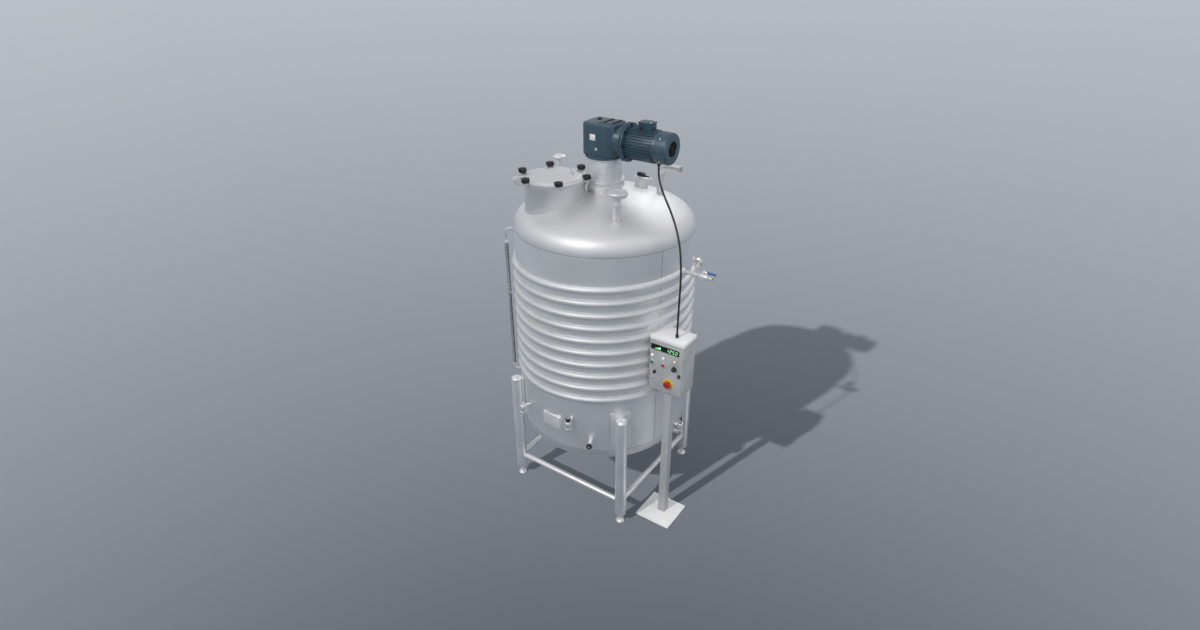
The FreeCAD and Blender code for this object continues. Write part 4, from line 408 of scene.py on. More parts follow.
def latheMesh(name, profile, place=Matrix.Identity(4), steps=64):
    # profile is a closed outline of (radius, height), turned about the local Z axis
    form = bmesh.new()
    rings = []
    for radius, height in profile:
        if radius < 1e-6:
            rings.append([form.verts.new((0, 0, height))])
            continue
        rings.append([form.verts.new((x, y, height)) for x, y in circlePoints(radius, steps)])
    count = len(rings)
    for index in range(count):
        here, there = rings[index], rings[(index + 1) % count]
        if len(here) == 1 and len(there) == 1:
            continue
        for step in range(steps):
            after = (step + 1) % steps
            if len(here) == 1:
                form.faces.new((here[0], there[step], there[after]))
            elif len(there) == 1:
                form.faces.new((here[step], here[after], there[0]))
            else:
                form.faces.new((here[step], here[after], there[after], there[step]))
    form.transform(place)
    return meshFrom(form, name)


def prismMesh(name, outline, low, high, place=Matrix.Identity(4)):
    # an outline of (x, y) pulled from one height to another
    form = bmesh.new()
    bottom = [form.verts.new((x, y, low)) for x, y in outline]
    top = [form.verts.new((x, y, high)) for x, y in outline]
    form.faces.new(list(reversed(bottom)))
    form.faces.new(top)
    count = len(outline)
    for index in range(count):
        after = (index + 1) % count
        form.faces.new((bottom[index], bottom[after], top[after], top[index]))
    form.transform(place)
    return meshFrom(form, name)


def roundedOutline(width, height, corner, steps=6):
    # a rectangle with round corners, as (x, y)
    points = []
    for turn, (x, y) in enumerate(((1, 1), (-1, 1), (-1, -1), (1, -1))):
        for step in range(steps + 1):
            angle = math.pi / 2 * (turn + step / steps)
            points.append((x * (width / 2 - corner) + corner * math.cos(angle),
                           y * (height / 2 - corner) + corner * math.sin(angle)))
    return points


def joinMeshes(name, meshes):
    form = bmesh.new()
    for mesh in meshes:
        form.from_mesh(mesh)
    joined = bpy.data.meshes.new(name)
    form.to_mesh(joined)
    form.free()
    return joined


def sliceMesh(mesh, height, upper):
    # what lies above or below a level, with the cut closed
    form = bmesh.new()
    form.from_mesh(mesh)
    everything = form.verts[:] + form.edges[:] + form.faces[:]
    bmesh.ops.bisect_plane(form, geom=everything, dist=0.000001, plane_co=(0, 0, height), plane_no=(0, 0, 1),
                           clear_inner=upper, clear_outer=not upper)
    bmesh.ops.holes_fill(form, edges=[edge for edge in form.edges if len(edge.link_faces) == 1])
    return meshFrom(form, mesh.name)


def turnedPiece(name, profile, place, steps, finish, body, replaced=(), width=0.0, limit=35):
    return finishPiece(name, latheMesh(name, profile, place, steps), finish, body, replaced, width,
                       limit)


def joinedPiece(name, meshes, finish, body, replaced=(), width=0.0, limit=35):
    return finishPiece(name, joinMeshes(name, meshes), finish, body, replaced, width, limit)


def cadCopy(node, merge=0.00002):
    # a node's own shape as a mesh whose flat faces are whole again
    form = bmesh.new()
    form.from_mesh(cadNodes[node].data)
    bmesh.ops.remove_doubles(form, verts=form.verts, dist=merge)
    bmesh.ops.dissolve_limit(form, angle_limit=math.radians(0.6), verts=form.verts, edges=form.edges)
    mesh = bpy.data.meshes.new(node + "_copy")
    form.to_mesh(mesh)
    form.free()
    return mesh


def dressNode(name, node, finish, body, width=0.001, limit=35):
    # the node's shape with its edges broken and its curves smooth
    return finishPiece(name, cadCopy(node), finish, body, (node,), width, limit)


# Geometry trees for what repeats

def geometryTree(name, sockets):
    tree = bpy.data.node_groups.new(name, "GeometryNodeTree")
    tree.interface.new_socket("Geometry", in_out="INPUT", socket_type="NodeSocketGeometry")
    for socketName, kind in sockets:
        tree.interface.new_socket(socketName, in_out="INPUT", socket_type=kind)
    tree.interface.new_socket("Geometry", in_out="OUTPUT", socket_type="NodeSocketGeometry")
    return tree, tree.nodes.new("NodeGroupInput"), tree.nodes.new("NodeGroupOutput")


def endTree(tree, start, end, geometry):
    realize = tree.nodes.new("GeometryNodeRealizeInstances")
    paint = tree.nodes.new("GeometryNodeSetMaterial")
    tree.links.new(geometry, realize.inputs[0])
    tree.links.new(realize.outputs[0], paint.inputs["Geometry"])
    tree.links.new(start.outputs["Finish"], paint.inputs["Material"])
    tree.links.new(paint.outputs[0], end.inputs[0])


def buildRingTree():
    # copies of one part, evenly round a circle, each turned with its place
    tree, start, end = geometryTree("partsRoundRing", [
        ("Part", "NodeSocketObject"), ("Count", "NodeSocketInt"), ("Radius", "NodeSocketFloat"),
        ("Finish", "NodeSocketMaterial")])
    circle = tree.nodes.new("GeometryNodeMeshCircle")
    tree.links.new(start.outputs["Count"], circle.inputs["Vertices"])
    tree.links.new(start.outputs["Radius"], circle.inputs["Radius"])
    part = tree.nodes.new("GeometryNodeObjectInfo")
    tree.links.new(start.outputs["Part"], part.inputs[0])
    index = tree.nodes.new("GeometryNodeInputIndex")
    step = mathNode(tree, "DIVIDE", 2 * math.pi, start.outputs["Count"])
    turn = mathNode(tree, "MULTIPLY", index.outputs[0], step)
    angles = tree.nodes.new("ShaderNodeCombineXYZ")
    tree.links.new(turn, angles.inputs["Z"])
    spread = tree.nodes.new("GeometryNodeInstanceOnPoints")
    tree.links.new(circle.outputs[0], spread.inputs["Points"])
    tree.links.new(part.outputs["Geometry"], spread.inputs["Instance"])
    tree.links.new(angles.outputs[0], spread.inputs["Rotation"])
    endTree(tree, start, end, spread.outputs[0])
    return tree


def buildRowTree():
    # copies of one part along a straight row
    tree, start, end = geometryTree("partsInRow", [
        ("Part", "NodeSocketObject"), ("Count", "NodeSocketInt"), ("Step", "NodeSocketVector"),
        ("Finish", "NodeSocketMaterial")])
    line = tree.nodes.new("GeometryNodeMeshLine")
    tree.links.new(start.outputs["Count"], line.inputs["Count"])
    tree.links.new(start.outputs["Step"], line.inputs["Offset"])
    part = tree.nodes.new("GeometryNodeObjectInfo")
    tree.links.new(start.outputs["Part"], part.inputs[0])
    spread = tree.nodes.new("GeometryNodeInstanceOnPoints")
    tree.links.new(line.outputs[0], spread.inputs["Points"])
    tree.links.new(part.outputs["Geometry"], spread.inputs["Instance"])
    endTree(tree, start, end, spread.outputs[0])
    return tree


def buildWeldTree():
    # a rippled bead along a route, as a welder's stacked pools
    tree, start, end = geometryTree("weldBead", [
        ("Bead", "NodeSocketFloat"), ("Step", "NodeSocketFloat"), ("Sides", "NodeSocketInt"),
        ("Finish", "NodeSocketMaterial")])
    points = tree.nodes.new("GeometryNodeResampleCurve")
    points.mode = "LENGTH"
    tree.links.new(start.outputs["Geometry"], points.inputs["Curve"])
    tree.links.new(start.outputs["Step"], points.inputs["Length"])
    index = tree.nodes.new("GeometryNodeInputIndex")
    third = mathNode(tree, "MODULO", index.outputs[0], 3)
    swell = mathNode(tree, "ADD", mathNode(tree, "MULTIPLY", third, 0.11), 0.85)
    radius = tree.nodes.new("GeometryNodeSetCurveRadius")
    tree.links.new(points.outputs[0], radius.inputs["Curve"])
    tree.links.new(swell, radius.inputs["Radius"])
    profile = tree.nodes.new("GeometryNodeCurvePrimitiveCircle")
    tree.links.new(start.outputs["Sides"], profile.inputs["Resolution"])
    tree.links.new(start.outputs["Bead"], profile.inputs["Radius"])
    sweep = tree.nodes.new("GeometryNodeCurveToMesh")
    tree.links.new(radius.outputs[0], sweep.inputs["Curve"])
    tree.links.new(profile.outputs[0], sweep.inputs["Profile Curve"])
    sweep.inputs["Fill Caps"].default_value = True
    if "Scale" in sweep.inputs:
        tree.links.new(swell, sweep.inputs["Scale"])
    endTree(tree, start, end, sweep.outputs[0])
    return tree


ringTree = buildRingTree()
rowTree = buildRowTree()
weldTree = buildWeldTree()


def runTree(holder, tree, values):
    # sets the tree's inputs by identifier, evaluates it once and gives back a plain mesh
    modifier = holder.modifiers.new("tree", "NODES")
    modifier.node_group = tree
    for item in tree.interface.items_tree:
        if item.item_type == "SOCKET" and item.in_out == "INPUT" and item.name in values:
            modifier[item.identifier] = values[item.name]
    mesh = plainMesh(holder, holder.name)
    bpy.data.objects.remove(holder)
    return mesh


def emptyHolder(name):
    holder = bpy.data.objects.new(name, bpy.data.meshes.new(name))
    scene.collection.objects.link(holder)
    return holder


def curveHolder(name, routes, closed):
    curve = bpy.data.curves.new(name, "CURVE")
    curve.dimensions = "3D"
    for route in routes:
        spline = curve.splines.new("POLY")
        spline.points.add(len(route) - 1)
        for point, place in zip(spline.points, route):
            point.co = (*place, 1)
        spline.use_cyclic_u = closed
    holder = bpy.data.objects.new(name, curve)
    scene.collection.objects.link(holder)
    return holder


spareParts = []


def hiddenPart(name, mesh):
    # a part that only the trees use; it is removed before the end
    part = linkPiece(name, mesh)
    part.hide_render = True
    spareParts.append(part)
    return part


def boltMesh(head, height, washer):
    top = prismMesh("head", circlePoints(head, 6), washer, washer + height)
    top = softenEdges(top, head * 0.1, 1, 25)
    ring = latheMesh("washer", [(0, 0), (head * 1.3, 0), (head * 1.3, washer), (0, washer)], steps=20)
    return joinMeshes("bolt", [top, ring])


def capScrewMesh(head, height):
    outer = [(0, height * 0.35), (head * 0.52, height * 0.35), (head * 0.52, height), (head * 0.92, height),
             (head, height * 0.9), (head, 0), (0, 0)]
    return latheMesh("capScrew", outer, steps=16)


def ringOfBolts(name, place, count, radius, part, body, finish="brightSteel"):
    mesh = runTree(emptyHolder(name), ringTree, {"Part": part, "Count": count, "Radius": radius,
                                                 "Finish": finishes[finish]})
    mesh.transform(place)
    return finishPiece(name, mesh, finish, body)


def weldPiece(name, routes, bead, body, closed=True, step=0.006, sides=6, finish="weldSteel"):
    mesh = runTree(curveHolder(name, routes, closed), weldTree,
                   {"Bead": bead, "Step": step, "Sides": sides, "Finish": finishes[finish]})
    return finishPiece(name, mesh, finish, body, limit=80)


bolt6 = hiddenPart("bolt6", boltMesh(0.0058, 0.005, 0.0012))
bolt8 = hiddenPart("bolt8", boltMesh(0.0075, 0.0062, 0.0016))
screw4 = hiddenPart("screw4", capScrewMesh(0.0042, 0.0035))
screw3 = hiddenPart("screw3", capScrewMesh(0.0030, 0.0022))
print("trees ready")


# Vessel: shell and dished heads turned afresh, so that reflections run clean round them

headSizes = {"wall": 0.005, "steps": 224, "crownRows": 26, "bendRows": 12, "shellRows": 24}


def headProfile(inset, weld, sign):
    # one side of a dished head from its rim to its crown, inset inside the skin
    knuckle = headTop["knuckle"] - inset
    crown = headTop["crown"] - inset
    bend = shellRadius - headTop["knuckle"]
    drop = math.sqrt((headTop["crown"] - headTop["knuckle"]) ** 2 - bend ** 2)
    lean = math.atan2(bend, drop)
    points = []
    for row in range(headSizes["bendRows"]):
        angle = math.pi / 2 - (math.pi / 2 - lean) * row / headSizes["bendRows"]
        points.append((bend + knuckle * math.sin(angle), weld + sign * knuckle * math.cos(angle)))
    for row in range(headSizes["crownRows"] + 1):
        angle = lean * (1 - row / headSizes["crownRows"])
        points.append((crown * math.sin(angle), weld + sign * (crown * math.cos(angle) - drop)))
    return points


def headMesh(name, weld, sign):
    profile = headProfile(0, weld, sign) + list(reversed(headProfile(headSizes["wall"], weld, sign)))
    return latheMesh(name, profile, Matrix.Translation(tankAxis), headSizes["steps"])


def cutWith(mesh, cutters):
    # takes away every cutter's shape
    holder = bpy.data.objects.new("cutBase", mesh)
    scene.collection.objects.link(holder)
    tools = []
    for index, cutter in enumerate(cutters):
        tool = bpy.data.objects.new("cutTool", cutter)
        scene.collection.objects.link(tool)
        tools.append(tool)
        modifier = holder.modifiers.new(f"cut{index}", "BOOLEAN")
        modifier.object = tool
        modifier.solver = "EXACT"
    made = plainMesh(holder, mesh.name)
    for thing in [holder] + tools:
        bpy.data.objects.remove(thing)
    return made


def uprightPlug(name, place, radius, low, high, steps=72):
    # a solid round bar standing at a place, for cutting a hole
    profile = [(0, low), (radius, low), (radius, high), (0, high)]
    return latheMesh(name, profile, Matrix.Translation((place.x, place.y, 0)), steps)


domePlaces = {  # angle round the tank, offset from its axis, and the radius of the hole
    "manway": {"angle": 225, "offset": 0.366, "radius": 0.2199},
    "front": {"angle": -45, "offset": 0.448, "radius": 0.0289},
    "vent": {"angle": 167.6, "offset": 0.505, "radius": 0.0259},
    "wash": {"angle": 43, "offset": 0.417, "radius": 0.0264},
    "pad": {"angle": 0, "offset": 0.0, "radius": 0.1249},
    "lamp": {"angle": 60, "offset": 0.300, "radius": 0.0498},
}


def domePlace(name):
    spot = domePlaces[name]
    return around(spot["offset"], spot["angle"], 0)


def lampFrame():
    # stands square on the dome at the lamp's port
    spot = domePlaces["lamp"]
    lean = math.asin(spot["offset"] / headTop["crown"])
    place = around(spot["offset"], spot["angle"], domeHeight(spot["offset"]))
    spin = Matrix.Rotation(math.radians(spot["angle"]), 4, "Z")
    return Matrix.Translation(place) @ spin @ Matrix.Rotation(lean, 4, "Y")


def makeVessel():
    low, high = shellLow.z, shellHigh.z
    inner = shellRadius - headSizes["wall"]
    rows = headSizes["shellRows"]
    profile = [(shellRadius, low + (high - low) * row / rows) for row in range(rows + 1)]
    profile += [(inner, high), (inner, low)]
    shell = latheMesh("shellSkin", profile, Matrix.Translation(tankAxis), headSizes["steps"])
    finishPiece("shellSkin", shell, "shellSteel", "tank", ("tank_shell",))
    holes = []
    for name, spot in domePlaces.items():
        if name == "lamp":
            hole = uprightPlug("hole", Vector((0, 0, 0)), spot["radius"], -0.06, 0.06)
            hole.transform(lampFrame())
        else:
            hole = uprightPlug("hole", domePlace(name), spot["radius"], high, high + 1)
        holes.append(hole)
    dome = cutWith(headMesh("domeSkin", high, 1), holes)
    finishPiece("domeSkin", dome, "domeSteel", "tank", ("top_head",))
    dressNode("dishSkin", "bottom_head", "domeSteel", "tank", 0.0005)
    dressNode("coilSkin", "jacket_coil", "coilSteel", "tank", 0)
    print("vessel made")


makeVessel()


# Every other node, dressed with broken edges and its own finish

plainDress = (
    ("legSkins", "support_legs", "frameSteel", "tank", "satin_steel", 0.001),
    ("padSkins", "leg_pads", "frameSteel", "tank", "satin_steel", 0.0015),
    ("braceSkins", "leg_braces", "braceSteel", "tank", "satin_steel", 0.0005),
    ("neckSkin", "manway_neck", "domeSteel", "tank", "satin_steel", 0.001),
    ("gasketSkin", "manway_gasket", "whiteRubber", "tank", "gasket", 0.001),
    ("hingeSkin", "lid_hinge_bracket", "barSteel", "tank", "satin_steel", 0.001),
    ("lidSkin", "manway_lid", "lidSteel", "lid", "satin_steel", 0.0012),
    ("lanternSkin", "agitator_lantern", "lanternSteel", "tank", "satin_steel", 0.0012),
    ("sealSkin", "shaft_seal", "brightSteel", "tank", "polished_steel", 0.001),
    ("shaftSkin", "agitator_shaft", "brightSteel", "agitator", "polished_steel", 0.001),
    ("impellerSkins", "impellers", "brightSteel", "agitator", "polished_steel", 0.001),
    ("bearingSkin", "steady_bearing", "barSteel", "tank", "satin_steel", 0.001),
    ("housingSkin", "gear_housing", "gearPaint", "tank", "blue_paint", 0.002),
    ("adaptorSkin", "motor_adaptor", "gearPaint", "tank", "blue_paint", 0.0015),
    ("frameSkin", "motor_frame", "gearPaint", "tank", "motor_paint", 0.0006),
    ("rotorSkin", "motor_rotor", "knobPlastic", "rotor", "satin_steel", 0.0005),
    ("terminalSkin", "terminal_box", "gearPaint", "tank", "motor_paint", 0.002),
    ("nozzleSkins", "dome_nozzles", "castSteel", "tank", "polished_steel", 0.001),
    ("ringSkin", "nozzle_clamp", "castSteel", "tank", "polished_steel", 0.001),
    ("wingSkin", "clamp_wing_nut", "castSteel", "wing_nut", "polished_steel", 0.001),
    ("washSkin", "wash_pipe", "castSteel", "tank", "polished_steel", 0.0005),
    ("plateSkin", "name_plate", "plateMetal", "tank", "name_plate", 0.001),
    ("jacketPipeSkins", "jacket_pipes", "barSteel", "tank", "satin_steel", 0.0008),
    ("sampleKnobTwo", "sample_knob_2", "castSteel", "sample_grip_2", "satin_steel", 0.001),
    ("boxSkin", "control_box", "boxPaint", "tank", "box_paint", 0.001),
    # the box's lid takes the paler copy of the box paint: painted light on its top
    ("boxLidSkin", "box_lid", "lidPaint", "tank", "box_paint", 0.003),
    ("doorSkin", "control_door", "boxPaint", "door", "box_paint", 0.0015),
)
for name, node, finish, body, slot, width in plainDress:
    dressNode(name, node, finish, body, width)
print("nodes dressed")


# Shared makers for the small pieces

def spotAt(x, y, z):
    return tankAxis + Vector((x, y, z))


def atSpot(x, y, z, turn=0):
    return Matrix.Translation(spotAt(x, y, z)) @ Matrix.Rotation(math.radians(turn), 4, "Z")


def onRing(radius, turn):
    # a place on a circle in a face's own plane
    return Matrix.Translation((radius * math.cos(turn), radius * math.sin(turn), 0))


lieAlongX = Matrix.Rotation(math.pi / 2, 4, "Y")
standUp = lieAlongX @ Matrix.Rotation(math.pi / 2, 4, "Z")
faceFront = Matrix.Rotation(math.pi / 2, 4, "X")
faceBack = Matrix.Rotation(-math.pi / 2, 4, "X")


def looseParts(mesh):
    # the separate bodies in one mesh, lowest first
    form = bmesh.new()
    form.from_mesh(mesh)
    form.verts.ensure_lookup_table()
    seen, parts = set(), []
    for first in form.verts:
        if first.index in seen:
            continue
        stack, members = [first], {first.index}
        while stack:
            for edge in stack.pop().link_edges:
                for other in edge.verts:
                    if other.index not in members:
                        members.add(other.index)
                        stack.append(other)
        seen |= members
        parts.append(members)
    meshes = []
    for members in parts:
        part = form.copy()
        part.verts.ensure_lookup_table()
        bmesh.ops.delete(part, geom=[v for v in part.verts if v.index not in members], context="VERTS")
        made = bpy.data.meshes.new(mesh.name + "_part")
        part.to_mesh(made)
        part.free()
        meshes.append(made)
    form.free()
    return sorted(meshes, key=lambda made: min(v.co.z for v in made.vertices))


def underMiddle(low, high):
    # the floor's place under the middle of a box
    return Matrix.Translation(((low.x + high.x) / 2, (low.y + high.y) / 2, 0))


def partBounds(mesh):
    low = Vector(min(v.co[axis] for v in mesh.vertices) for axis in range(3))
    high = Vector(max(v.co[axis] for v in mesh.vertices) for axis in range(3))
    return low, high


def lobedMesh(name, count, core, swell, rows, place):
    # a hand grip: round with lobes, drawn in and out along its height
    form = bmesh.new()
    steps = count * 10
    rings = []
    for height, share in rows:
        ring = []
        for step in range(steps):
            turn = 2 * math.pi * step / steps
            radius = (core + swell * (0.5 + 0.5 * math.cos(count * turn)) ** 0.8) * share
            ring.append(form.verts.new((radius * math.cos(turn), radius * math.sin(turn), height)))
        rings.append(ring)
    for here, there in zip(rings, rings[1:]):
        for step in range(steps):
            after = (step + 1) % steps
            form.faces.new((here[step], here[after], there[after], there[step]))
    form.faces.new(list(reversed(rings[0])))
    form.faces.new(rings[-1])
    form.transform(place)
    return meshFrom(form, name)


def roundedRoute(points, bend, steps=7):
    # a route whose corners are drawn as arcs
    places = [Vector(points[0])]
    for before, corner, after in zip(points, points[1:], points[2:]):
        corner = Vector(corner)
        back = (Vector(before) - corner).normalized()
        on = (Vector(after) - corner).normalized()
        half = back.angle(on) / 2
        reach = bend / math.tan(half)
        centre = corner + (back + on).normalized() * (bend / math.sin(half))
        first = corner + back * reach - centre
        last = corner + on * reach - centre
        for step in range(steps + 1):
            places.append(centre + first.slerp(last, step / steps))
    places.append(Vector(points[-1]))
    return places


def rodMesh(name, points, radius, bend=0, sides=16):
    # a round bar or pipe along a route
    route = roundedRoute(points, bend) if bend else [Vector(point) for point in points]
    holder = curveHolder(name, [route], False)
    holder.data.bevel_depth = radius
    holder.data.bevel_resolution = sides // 4
    holder.data.use_fill_caps = True
    mesh = plainMesh(holder, name)
    bpy.data.objects.remove(holder)
    return mesh


def hexMesh(name, across, low, high, place):
    # a nut or a hexagon head, measured across its flats
    return prismMesh(name, circlePoints(across / math.sqrt(3), 6), low, high, place)


def blockMesh(name, width, height, corner, low, high, place):
    # a block with round corners, its thickness along its own Z
    return prismMesh(name, roundedOutline(width, height, corner), low, high, place)


# Welds

def ringRoute(radius, height, centre=None, count=180):
    # a level ring round the tank, or round a centre of its own
    centre = centre or tankAxis
    return [(centre.x + x, centre.y + y, height) for x, y in circlePoints(radius, count)]


def domeRoute(place, radius, count=72):
    # where an upright pipe meets the dome
    route = []
    for x, y in circlePoints(radius, count):
        spot = place + Vector((x, y, 0))
        flat = spot - tankAxis
        route.append((spot.x, spot.y, domeHeight(math.hypot(flat.x, flat.y))))
    return route


def shellRing(degrees, height, pipe, count=32):
    # where a level pipe meets the shell
    frameHere = facing(degrees, tankAxis)
    route = []
    for side, rise in circlePoints(pipe, count):
        reach = math.sqrt(shellRadius ** 2 - side ** 2)
        route.append(frameHere @ Vector((reach, side, height + rise)))
    return route


weldSizes = {"girth": 0.0022, "coil": 0.0026, "neck": 0.004, "flange": 0.0016, "pad": 0.0035,
             "seamAngle": -20, "coilHalf": 0.028, "coilTurns": 10, "coilPitch": 0.1, "legReach": 0.515,
             "legRadius": 0.0445, "braceRadius": 0.021, "braceLevel": 0.210, "padHalf": 0.080,
             "padAngles": (45, 135, 225, 315), "legDrop": 0.045, "leg": 0.0025, "pipe": 0.002}


def alongCorners(corners, steps=10):
    # places on the closed line through four corners, each given as a pair
    places = []
    for (fromX, fromY), (toX, toY) in zip(corners, corners[1:] + corners[:1]):
        shares = [step / steps for step in range(steps)]
        places += [(fromX + (toX - fromX) * share, fromY + (toY - fromY) * share) for share in shares]
    return places


portPlaces = {  # angle round the tank, level, and the pipe's radius
    "middleTap": (-77, 0.962, 0.012),
    "leftTap": (-117, 0.872, 0.012),
    "rightTap": (-64, 0.790, 0.0156),
    "drain": (3, 0.700, 0.012),
    "gaugeTop": (214.8, 2.252, 0.008),
    "gaugeFoot": (214.8, 1.010, 0.008),
}


def padRoute(angle, half, low, high, radius):
    # round the edge of a pad on the shell
    side = math.degrees(math.asin(half / radius))
    corners = [(angle - side, low), (angle + side, low), (angle + side, high), (angle - side, high)]
    return [around(radius, degrees, height) for degrees, height in alongCorners(corners)]


def legPlaces():
    # the middles of the four legs
    reach = weldSizes["legReach"]
    return [(right * reach, back * reach) for right in (-1, 1) for back in (-1, 1)]


def makeWelds():
    low, high = shellLow.z, shellHigh.z
    size = weldSizes
    inside = shellRadius - 0.0008
    weldPiece("girthWelds", [ringRoute(inside, low), ringRoute(inside, high)], size["girth"], "tank",
              step=0.008, finish="seamSteel")
    seam = [around(inside, size["seamAngle"], low + (high - low) * k / 40) for k in range(41)]
    weldPiece("shellSeam", [seam], size["girth"], "tank", False, 0.008, finish="seamSteel")
    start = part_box("jacket_coil")[0].z + size["coilHalf"]
    steps = 72
    for name, side in (("coilWeldLow", -1), ("coilWeldHigh", 1)):
        route = []
        for k in range(size["coilTurns"] * steps + 1):
            turns = k / steps
            height = start + turns * size["coilPitch"] + side * size["coilHalf"]
            route.append(around(shellRadius, 360 * turns, height))
        weldPiece(name, [route], size["coil"], "tank", False, 0.014, 5)
    necks = [domeRoute(domePlace(name), domePlaces[name]["radius"] + 0.001) for name in
             ("manway", "front", "vent", "wash", "pad")]
    lampRing = ringRoute(domePlaces["lamp"]["radius"], -0.001, Vector((0, 0, 0)), 48)
    necks.append([lampFrame() @ Vector(place) for place in lampRing])
    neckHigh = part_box("manway_neck")[1].z
    weldPiece("domeWelds", necks, size["neck"], "tank", step=0.007)
    flange = ringRoute(domePlaces["manway"]["radius"] - 0.0006, neckHigh - 0.0122, domePlace("manway"))
    weldPiece("flangeWeld", [flange], size["flange"], "tank", step=0.005)
    padLow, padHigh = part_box("leg_pads")
    pads = [padRoute(angle, size["padHalf"], padLow.z, padHigh.z, shellRadius + 0.003)
            for angle in size["padAngles"]]
    weldPiece("padWelds", pads, size["pad"], "tank")
    routes = []
    legTop = padHigh.z - size["legDrop"]
    for x, y in legPlaces():
        routes.append(ringRoute(size["legRadius"] - 0.0005, legTop, spotAt(x, y, 0), 48))
    for angle in (0, 90, 180, 270):
        turn = Matrix.Translation(tankAxis) @ Matrix.Rotation(math.radians(angle), 4, "Z")
        for end in (-1, 1):
            ring = []
            for side, rise in circlePoints(size["braceRadius"], 32):
                reach = size["legReach"] - math.sqrt(size["legRadius"] ** 2 - side ** 2)
                ring.append(turn @ Vector((size["legReach"] + side, end * reach, size["braceLevel"] + rise)))
            routes.append(ring)
    weldPiece("legWelds", routes, size["leg"], "tank", step=0.005)
    pipes = [shellRing(*port) for port in portPlaces.values()]
    weldPiece("pipeWelds", pipes, size["pipe"], "tank", step=0.004)
    print("welds made")


makeWelds()


# Manway: hand clamps on the lid

clampSizes = {"count": 6, "offset": 0.248, "core": 0.0235, "swell": 0.0095, "low": 0.012, "depth": 0.030,
              "cup": 0.0150, "rim": 0.012}


def makeClamps():
    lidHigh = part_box("manway_lid")[0].z + clampSizes["rim"]
    size = clampSizes
    low, high = size["low"], size["low"] + size["depth"]
    rows = ((low, 0.78), (low + 0.003, 0.86), (low + 0.007, 0.90), (low + 0.010, 1.0), (high - 0.003, 1.0),
            (high - 0.001, 0.97), (high - 0.0003, 0.92), (high, 0.86))
    cap = [(0, high - 0.001), (size["cup"], high - 0.001), (size["cup"], high + 0.0022),
           (size["cup"] - 0.002, high + 0.0036), (0, high + 0.0040)]
    for index in range(size["count"]):
        turn = Matrix.Rotation(math.radians(domePlaces["manway"]["angle"] + 60 * (index + 0.5)), 4, "Z")
        reach = Matrix.Translation((size["offset"], 0, lidHigh))
        place = Matrix.Translation(domePlace("manway")) @ turn @ reach
        body, node = f"clamp_{index + 1}", f"lid_clamp_{index + 1}"
        knob = joinMeshes("knob", [lobedMesh("grip", 6, size["core"], size["swell"], rows, place),
                                   latheMesh("cap", cap, place, 32)])
        finishPiece(f"clampKnob{index + 1}", knob, "knobPlastic", body, (node,), limit=50)
        stud = sliceMesh(cadCopy(node), lidHigh + low, False)
        finishPiece(f"clampHook{index + 1}", stud, "brightSteel", body, width=0.0004)
    print("clamps made")


makeClamps()


# Gear housing, adaptor and motor

gearSizes = {"front": -0.105, "top": 3.046, "coverTop": 3.051, "axis": 2.930, "plateX": -0.032,
             "plateZ": 2.950, "plugX": -0.001, "plugZ": 2.871, "boltRows": (0.0325, 0.1015),
             "jointLeft": 0.078, "jointRight": 0.085, "jointWide": 0.214, "jointHigh": 0.224,
             "jointLevel": 2.934, "boltFirst": -0.054, "boltPitch": 0.0216, "stripX": 0.006,
             "breather": (-0.022, -0.030), "adaptorFaces": (0.188, 0.219), "adaptorRing": 0.1215,
             "outputFace": 2.594, "outputRing": 0.1335}


